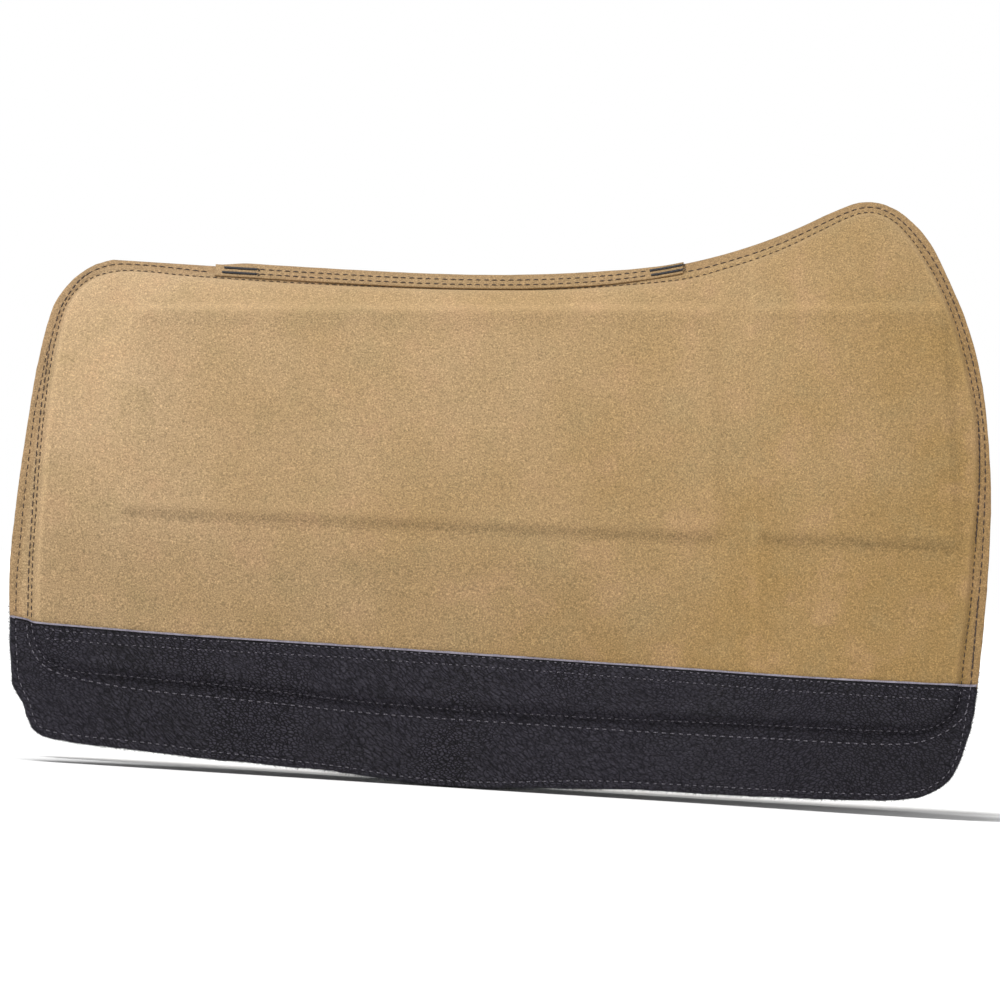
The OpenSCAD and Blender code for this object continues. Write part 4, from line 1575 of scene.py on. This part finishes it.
@dataclass
class WearLeather:
    """The leather along the bottom, where the stirrup leathers rub, with a raw cut top edge."""

    shape: Shape
    side: Side
    across: int = 470
    down: int = 84
    inset: float = 0.7
    fade: float = 10.0
    raw_edge: float = 1.9

    def build(self) -> tuple[Mesh, dict, Points]:
        """The leather as a closed sheet with a bevelled top edge.

        Returns:
            The mesh, each point's distance below the top edge, and the flat outline.
        """
        sh, lv = self.shape, self.shape.levels
        outline = sh.outline
        rear_top, rear_foot, front_foot, front_top = sh.flat(
            (-378.6, 112), (-358, 30), (361, 30.5), (378.4, 106.2))
        rear = outline.stretch(rear_top, rear_foot)
        bottom = outline.stretch(rear_foot, front_foot)
        front = outline.stretch(front_foot, front_top)[::-1]
        start, end = rear[0], front[0]
        middle = sh.top_edge[(sh.top_edge[:, 0] > start[0] + 1) & (sh.top_edge[:, 0] < end[0] - 1)]
        top = np.vstack([start, middle, end])
        x, s = patch(top, bottom, rear, front, self.across, self.down, crowd=0.4)
        slope = outline.slope(x, s)
        ragged = self.inset + 0.5 * noise(x, s, 7.0, 51, 3)
        amount = ragged * (1.0 - smooth(outline.depth(x, s) / self.fade))
        x, s = x + amount * slope[..., 0], s + amount * slope[..., 1]
        s[0] += 0.22 * noise(x[0], np.full_like(x[0], 3.0), 9.0, 52, 2)
        below = s - sh.leather_edge(x)
        outer = sh.leather(x, s)
        bevel = 1.15 * (1.0 - (below / 1.5).clip(0.0, 1.0))
        edge = outline.depth(x, s)
        outer = outer - bevel - 0.7 * bell(edge, 0.9)
        inner = np.minimum(sh.leather(x, s) - lv.leather, outer - 0.5)
        inner = np.maximum(inner, sh.canvas(x, s) + 0.05)
        inner = np.minimum(inner, outer - 0.4)
        mesh = shell(x, s, outer, inner, sh.drape, self.side)
        mesh.finish[0] = (below[1:, 1:] < self.raw_edge).astype(int).ravel()
        flat = np.concatenate(mesh.flat) / MM
        numbers = {"below_edge": flat[:, 1] - sh.leather_edge(flat[:, 0])}
        return mesh, numbers, np.vstack([top, front, bottom[::-1], rear[::-1]])

    def dress(self, finishes: Finishes) -> bpy.types.Object:
        mesh, numbers, line = self.build()
        piece = mesh.make(f"{self.side.prefix}_leather", [finishes.leather, finishes.raw_leather],
                          attributes=numbers)
        declare(piece, self.side, "wear_leather")
        flat_size(line)
        area(line) * MM * MM
        return piece


@dataclass
class SpineStrip:
    """The canvas strip that joins the halves over the ridge."""

    shape: Shape
    rear_x: float = -237.0
    front_x: float = 130.0
    reach: float = 11.0
    crown: float = 2.3
    crown_power: float = 5.0
    base_level: float = 13.55
    fineness: int = 14
    columns: int = 61
    rows: int = 240
    bend_reach: float = 12.5

    def profile(self, count: int) -> tuple[np.ndarray, np.ndarray]:
        """Section across the strip: the way out and the height over the ridge line.

        On the slopes it follows the drape, and between them it is level.

        Args:
            count: Number of points on a slope and on half the level stretch.

        Returns:
            Way out and height of each point, from the off half's edge to the near half's.
        """
        drape = self.shape.drape
        s = np.linspace(self.reach, 0.0, count)
        table_s, lean, down, out = drape.table
        tilt = np.interp(s, table_s, lean)
        away = drape.ridge_gap + np.interp(s, table_s, out) + self.base_level * np.cos(tilt)
        high = -drape.ridge_drop - np.interp(s, table_s, down) + self.base_level * np.sin(tilt)
        level_y = away[-1] * np.linspace(1.0, 0.0, count)[1:]
        half_y = np.concatenate([away, level_y])
        half_z = np.concatenate([high, np.full_like(level_y, high[-1])])
        return np.concatenate([-half_y, half_y[-2::-1]]), np.concatenate([half_z, half_z[-2::-1]])

    def build(self) -> Mesh:
        """The strip as a closed sheet: the section and its offset outwards, carried along the ridge.

        Over its middle third it is raised by the crown's height times one less the way out to a
        high power, and that fades at both ends of the strip.
        """
        y, z = even(np.stack(self.profile(self.fineness), axis=1), self.columns).T
        along = unit(np.stack([np.gradient(y), np.gradient(z)], axis=1))
        out_y, out_z = -along[:, 1], along[:, 0]
        x = np.linspace(self.rear_x, self.front_x, self.rows)
        ridge = self.shape.drape.ridge(x)[:, None]
        raised = smooth((x - self.rear_x) / 28) * smooth((self.front_x - x) / 80)
        way_out = (np.abs(y) / np.abs(y[self.columns // 3])).clip(0, 1)
        crown = self.crown * (1.0 - way_out ** self.crown_power)
        thick = self.shape.levels.strip
        ripple = 0.12 * noise(x[:, None], y[None], 14.0, 61, 2)
        flare = self.shape.drape.flare(x)[:, None] * np.tanh(y / 9.0)[None]
        mesh = Mesh()
        grids = []
        for offset in (thick, 0.0):
            level = offset + ripple
            grids.append(np.stack([
                np.broadcast_to(x[:, None], (len(x), len(y))),
                y[None] + flare + out_y[None] * level,
                ridge + z[None] + out_z[None] * level + raised[:, None] * crown[None],
            ], axis=-1) * MM)
        rows, columns = grids[0].shape[:2]
        flat = np.stack(np.meshgrid(x, np.linspace(-26, 26, columns), indexing="ij"), axis=-1) * MM
        faces = grid_faces(rows, columns)
        mesh.add(grids[0], faces[:, ::-1], 0, flat)
        second = mesh.add(grids[1], faces, 0, flat)
        edge = rim_of(rows, columns)
        mesh.join(np.stack([edge, np.roll(edge, -1), second + np.roll(edge, -1), second + edge], axis=1))
        return mesh

    def dress(self, finishes: Finishes) -> bpy.types.Object:
        mesh = self.build()
        flat = np.concatenate(mesh.flat)
        piece = mesh.make("spine_strip_canvas", [finishes.canvas],
                          attributes={"in_from_edge": np.full(len(flat), 8.0), "wear": np.zeros(len(flat))})
        height = float(self.shape.drape.ridge(np.array(0.0))) * MM
        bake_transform(piece)
        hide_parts("spine_strip")
        width = float(lengths(np.stack(self.profile(self.fineness), axis=1))[-1]) * MM
        return piece


@dataclass
class Stitching:
    """Every row of stitches on one half."""

    shape: Shape
    side: Side
    strip: SpineStrip
    contour: Thread = Thread(pitch=6.6, dash=5.6, radius=0.48)
    foot: Thread = Thread(pitch=5.5, dash=4.2, radius=0.40)
    hem_thread: Thread = Thread(pitch=6.2, dash=4.6, radius=0.40)
    leather_thread: Thread = Thread(pitch=5.6, dash=3.6, radius=0.36, sink=0.3, rise=0.2)
    leather_share: float = 0.72
    spine: Thread = Thread(pitch=6.4, dash=4.9, radius=0.5)
    lock_thread: Thread = Thread(pitch=5.0, dash=4.6, radius=0.5, rise=0.55)
    bartack_turns: int = 30
    bartack_reach: float = 1.15

    def surface(self, line: Points, level: Optional[np.ndarray] = None) -> tuple[Points, Points, np.ndarray]:
        """A row's path on the pad.

        The outward direction is the cross product of the ways along x and down the half, turned
        to point away from the horse.

        Args:
            line: The row on the flat cloth.
            level: Its level, or none for the outermost skin.

        Returns:
            The path in metres, the outward direction, and whether each point lies on leather.
        """
        sh = self.shape
        x, s = line.T
        skin, on_leather = sh.skin(x, s)
        if level is not None:
            skin = level
        path = sh.drape.place(x, s, skin, self.side)
        ahead = sh.drape.place(x + 0.5, s, skin, self.side) - sh.drape.place(x - 0.5, s, skin, self.side)
        downwards = (sh.drape.place(x, s + 0.5, skin, self.side)
                     - sh.drape.place(x, (s - 0.5).clip(0), skin, self.side))
        normal = unit(np.cross(ahead, downwards))
        normal *= np.where(normal[:, 1] * self.side.value < 0, -1.0, 1.0)[:, None]
        return path, normal, on_leather

    def sew(self, mesh: Mesh, line: Points, thread: Thread, seed: int, skip: Optional[Callable] = None,
            level: Optional[np.ndarray] = None) -> None:
        """Adds a row along a line.

        Args:
            mesh: The mesh to add to.
            line: The row on the flat cloth, in millimetres.
            thread: How it is sewn.
            seed: Seed of the small differences from stitch to stitch.
            skip: Tells from x and s which points of the row have no stitch.
            level: Level of the row's points, or none for the outermost skin.
        """
        rng = np.random.default_rng(seed)
        fine = even(line, max(16, int(len(line) * 4)))
        fine_level = None if level is None else np.interp(
            np.linspace(0, 1, len(fine)), np.linspace(0, 1, len(level)), level)
        path, normal, on_leather = self.surface(fine, fine_level)
        length = lengths(path)
        count = max(1, int(length[-1] / (thread.pitch * MM)))
        start = (np.arange(count) + 0.5 * (1 - thread.dash / thread.pitch)) * length[-1] / count
        start = start + rng.normal(0.0, 0.10, count) * MM
        end = start + (thread.dash + rng.normal(0.0, 0.16, count)) * MM
        spans = np.stack([start, end.clip(0, length[-1])], axis=1)
        where = np.stack([np.interp(spans, length, fine[:, k]) for k in range(2)], axis=-1)
        leather = np.interp(spans, length, on_leather.astype(float)) > 0.5
        short = np.where(leather.all(1), (1 - self.leather_share) / 2, 0.0) * (spans[:, 1] - spans[:, 0])
        spans = spans + np.stack([short, -short], axis=1)
        keep = (leather[:, 0] == leather[:, 1]) & (spans[:, 1] > spans[:, 0])
        if skip is not None:
            keep &= ~(skip(where[:, 0, 0], where[:, 0, 1]) | skip(where[:, 1, 0], where[:, 1, 1]))
        jitter = noise(length / MM, np.zeros_like(length), 9.0, seed) * 0.12 * MM
        side_way = unit(np.cross(np.gradient(path, axis=0), normal))
        stitches(mesh, path + side_way * jitter[:, None], normal, spans[keep], thread,
                 leather[keep, 0].astype(int))

    def lock(self, mesh: Mesh, loop: Loop, start: tuple, end: tuple, seed: int) -> None:
        """Adds a run sewn twice, half a stitch on and a thread's width aside, where a row was begun or ended.

        Args:
            mesh: The mesh to add to.
            loop: The row that it is on.
            start: Where the run starts, in the side view.
            end: Where it ends.
            seed: Seed of its unevenness.
        """
        run = loop.stretch(*self.shape.flat(start, end))
        ahead = unit(np.gradient(run, axis=0))
        aside = np.stack([-ahead[:, 1], ahead[:, 0]], axis=1) * 0.35
        self.sew(mesh, run + aside, self.lock_thread, seed)

    def under_strip(self, x: np.ndarray, s: np.ndarray) -> np.ndarray:
        """Whether a point lies under the spine strip."""
        return (s < self.strip.reach + 0.6) & (x > self.strip.rear_x - 1) & (x < self.strip.front_x + 1)

    def bartack(self, mesh: Mesh, rear: float, front: float, s: float, seed: int) -> None:
        """Adds a bartack: two long core threads, covered with close zigzag stitches across them.

        Args:
            mesh: The mesh to add to.
            rear: Where it starts along the ridge.
            front: Where it ends.
            s: Distance of its middle line down the half.
            seed: Seed of its unevenness.
        """
        rng = np.random.default_rng(seed)
        level = self.strip.base_level + self.shape.levels.strip
        count = 2 * self.bartack_turns + 1
        x = np.linspace(rear, front, count) + rng.normal(0, 0.1, count)
        way = np.where(np.arange(len(x)) % 2 == 0, -1.0, 1.0) * self.bartack_reach
        zigzag = np.stack([x, s + way + rng.normal(0, 0.09, len(x))], axis=1)
        path, normal, _ = self.surface(zigzag, np.full(len(zigzag), level + 0.55))
        length = lengths(path)
        spans = np.stack([length[:-1], length[1:]], axis=1)
        stitches(mesh, path, normal, spans, Thread(1, 1, 0.5, sink=0.35, rise=0.3), np.zeros(len(spans), int))
        for offset in (-0.55, 0.55):
            core = np.stack([np.linspace(rear, front, 30), np.full(30, s + offset)], axis=1)
            path, normal, _ = self.surface(core, np.full(30, level + 0.15))
            total = lengths(path)[-1]
            stitches(mesh, path, normal, np.array([[0.0, total]]), Thread(1, 1, 0.5), np.zeros(1, int))
        tail_x = np.array([front - 0.5, front + 1.2, front + 2.3, front + 2.0, front + 0.9])
        tail_s = s + np.array([0.3, -0.4, 0.3, 1.3, 1.6])
        tail = curve(np.stack([tail_x, tail_s.clip(0.2)], axis=1), 0.5, closed=False)
        path, normal, _ = self.surface(tail, np.full(len(tail), level + 0.45))
        total = lengths(path)[-1]
        stitches(mesh, path, normal, np.array([[0.0, total * 0.52], [total * 0.48, total]]),
                 Thread(1, 1, 0.4, sink=0.1, rise=0.3), np.zeros(2, int))

    def piece(self, mesh: Mesh, name: str, node: str, materials: list) -> bpy.types.Object:
        return declare(mesh.make(f"{self.side.prefix}_{name}", materials), self.side, node)

    def dress(self, finishes: Finishes) -> list[bpy.types.Object]:
        """Sews every row."""
        sh, made = self.shape, []
        # Stitches on the leather take the thread finish with the painted highlight.
        both = [finishes.thread, finishes.leather_thread]
        outer = Mesh()
        self.sew(outer, sh.outer.round(), self.contour, 71, self.under_strip)
        self.lock(outer, sh.outer, (-347.0, 370.5), (-335.0, 384.3), 86)
        self.lock(outer, sh.outer, (374.6, 172.0), (373.2, 112.0), 87)
        made.append(self.piece(outer, "contour_stitches", "outer_seam", both))
        inner = Mesh()
        self.sew(inner, sh.inner.round(), self.foot, 72)
        self.lock(inner, sh.inner, (365.8, 312.8), (369.9, 217.1), 88)
        made.append(self.piece(inner, "padding_stitches", "inner_seam", both))
        hem = Mesh()
        self.sew(hem, sh.hem, self.hem_thread, 73)
        made.append(self.piece(hem, "hem_stitches", "hem_seam", both))
        rows = Mesh()
        for k, row in enumerate(sh.leather_rows):
            self.sew(rows, row, self.leather_thread, 74 + k)
        made.append(self.piece(rows, "leather_stitches", "leather_seams", both))
        level = self.strip.base_level + sh.levels.strip
        spine, tacks = Mesh(), Mesh()
        for k, s in enumerate((2.6, 7.6)):
            line = np.stack([np.linspace(-203.0, 102.0, 300), np.full(300, s)], axis=1)
            self.sew(spine, line, self.spine, 78 + k, level=np.full(300, level))
            shift = 1.4 * k
            self.bartack(tacks, -230.0 - shift, -204.5, s + 0.3, 81 + k)
            self.bartack(tacks, 104.0 + shift, 129.0 + shift * 0.4, s + 0.3, 83 + k)
        made.append(self.piece(spine, "spine_stitches", "spine_seams", [finishes.thread]))
        made.append(self.piece(tacks, "bartack_stitches", "bartacks", [finishes.black_thread]))
        return made


@dataclass
class Half:
    """One half of the pad with everything sewn on it."""

    shape: Shape
    side: Side
    strip: SpineStrip

    def dress(self, finishes: Finishes) -> list[bpy.types.Object]:
        """Makes the half's pieces, from the horse side outwards."""
        liner = FeltLiner(self.shape, self.side)
        made = [liner.dress(finishes)]
        made += Padding(self.shape, self.side).dress(finishes)
        made.append(CanvasCover(self.shape, self.side, liner).dress(finishes))
        made.append(WearLeather(self.shape, self.side).dress(finishes))
        made += Stitching(self.shape, self.side, self.strip).dress(finishes)
        return made


# ---------------------------------------------------------------- the studio


@dataclass(frozen=True)
class Studio:
    """Camera, soft lights and a plain pale floor."""

    distance: float = 12.0
    frame_width: float = 0.7815
    roll: float = 3.64
    aim: tuple = (-0.0022, -0.085, 0.2261)
    sensor: float = 36.0
    floor_size: float = 60.0
    floor_drop: float = 0.0004
    sky: float = 0.34
    sky_from: float = 0.10
    sky_to: float = 0.35

    def camera(self) -> None:
        """Long-lens camera, level with the pad's middle, turned a little about its own axis."""
        data = bpy.data.cameras.new("camera")
        data.sensor_width = self.sensor
        data.lens = self.sensor * self.distance / self.frame_width
        data.clip_end = 100.0
        made = bpy.data.objects.new("camera", data)
        bpy.context.scene.collection.objects.link(made)
        upright = Matrix.Rotation(math.radians(90), 4, "X")
        turned = Matrix.Rotation(math.radians(-self.roll), 4, "Y")
        place = Matrix.Translation(Vector(self.aim) + Vector((0.0, -self.distance, 0.0)))
        made.matrix_world = place @ turned @ upright
        bpy.context.scene.camera = made

    def lamp(self, name: str, where: tuple, width: float, power: float) -> None:
        """A soft, even light from one direction, which falls on the pad and the floor alike."""
        data = bpy.data.lights.new(name, "SUN")
        data.angle, data.energy = math.radians(width), power
        made = bpy.data.objects.new(name, data)
        bpy.context.scene.collection.objects.link(made)
        made.location = where
        made.rotation_euler = (-Vector(where)).to_track_quat("-Z", "Y").to_euler()

    def floor(self) -> None:
        """A wide pale floor at the foot of the pad."""
        size = self.floor_size / 2
        mesh = Mesh()
        square = np.array([[-1, -1], [1, -1], [1, 1], [-1, 1]]) * size
        mesh.add(np.column_stack([square, np.full(4, -self.floor_drop)]), np.array([[0, 1, 2, 3]]))
        mesh.make("floor", [FloorFinish().build("floor_finish")], smooth_faces=False)

    def surroundings(self) -> None:
        """White light from all round, full near the horizon and dimmer from above."""
        world = bpy.data.worlds.new("world")
        world.use_nodes = True
        g = Graph(world.node_tree)
        way = g.node("ShaderNodeTexCoord").outputs["Generated"]
        height = g.node("ShaderNodeSeparateXYZ", {}, {0: way}).outputs["Z"]
        fade = g.node("ShaderNodeMapRange", {}, {
            "Value": height, "From Min": self.sky_from, "From Max": self.sky_to,
            "To Min": 1.0, "To Max": self.sky})
        g.feed(g.nodes["Background"], {"Strength": fade.outputs["Result"], "Color": (1.0, 1.0, 1.0, 1.0)})
        bpy.context.scene.world = world

    def dress(self) -> None:
        """Sets up the whole studio."""
        self.camera()
        self.floor()
        self.lamp("key", (-0.8, -1.35, 2.6), 26.0, 3.3)
        self.lamp("fill", (0.6, 1.8, 2.2), 60.0, 0.6)
        self.surroundings()
        bpy.context.scene.view_settings.view_transform = "Standard"


def main() -> None:
    """Builds the pad and its studio."""
    logging.basicConfig(level=logging.INFO, format="%(name)s: %(message)s")
    Studio().dress()
    shape = Shape(Drape(), Cut(), Levels(), Relief())
    finishes = Finishes()
    strip = SpineStrip(shape)
    for side in Side:
        for piece in Half(shape, side, strip).dress(finishes):
            LOG.info("%s rides on %s", piece.name, side.body)
    LOG.info("%s joins the halves", strip.dress(finishes).name)


if __name__ == "__main__":
    main()
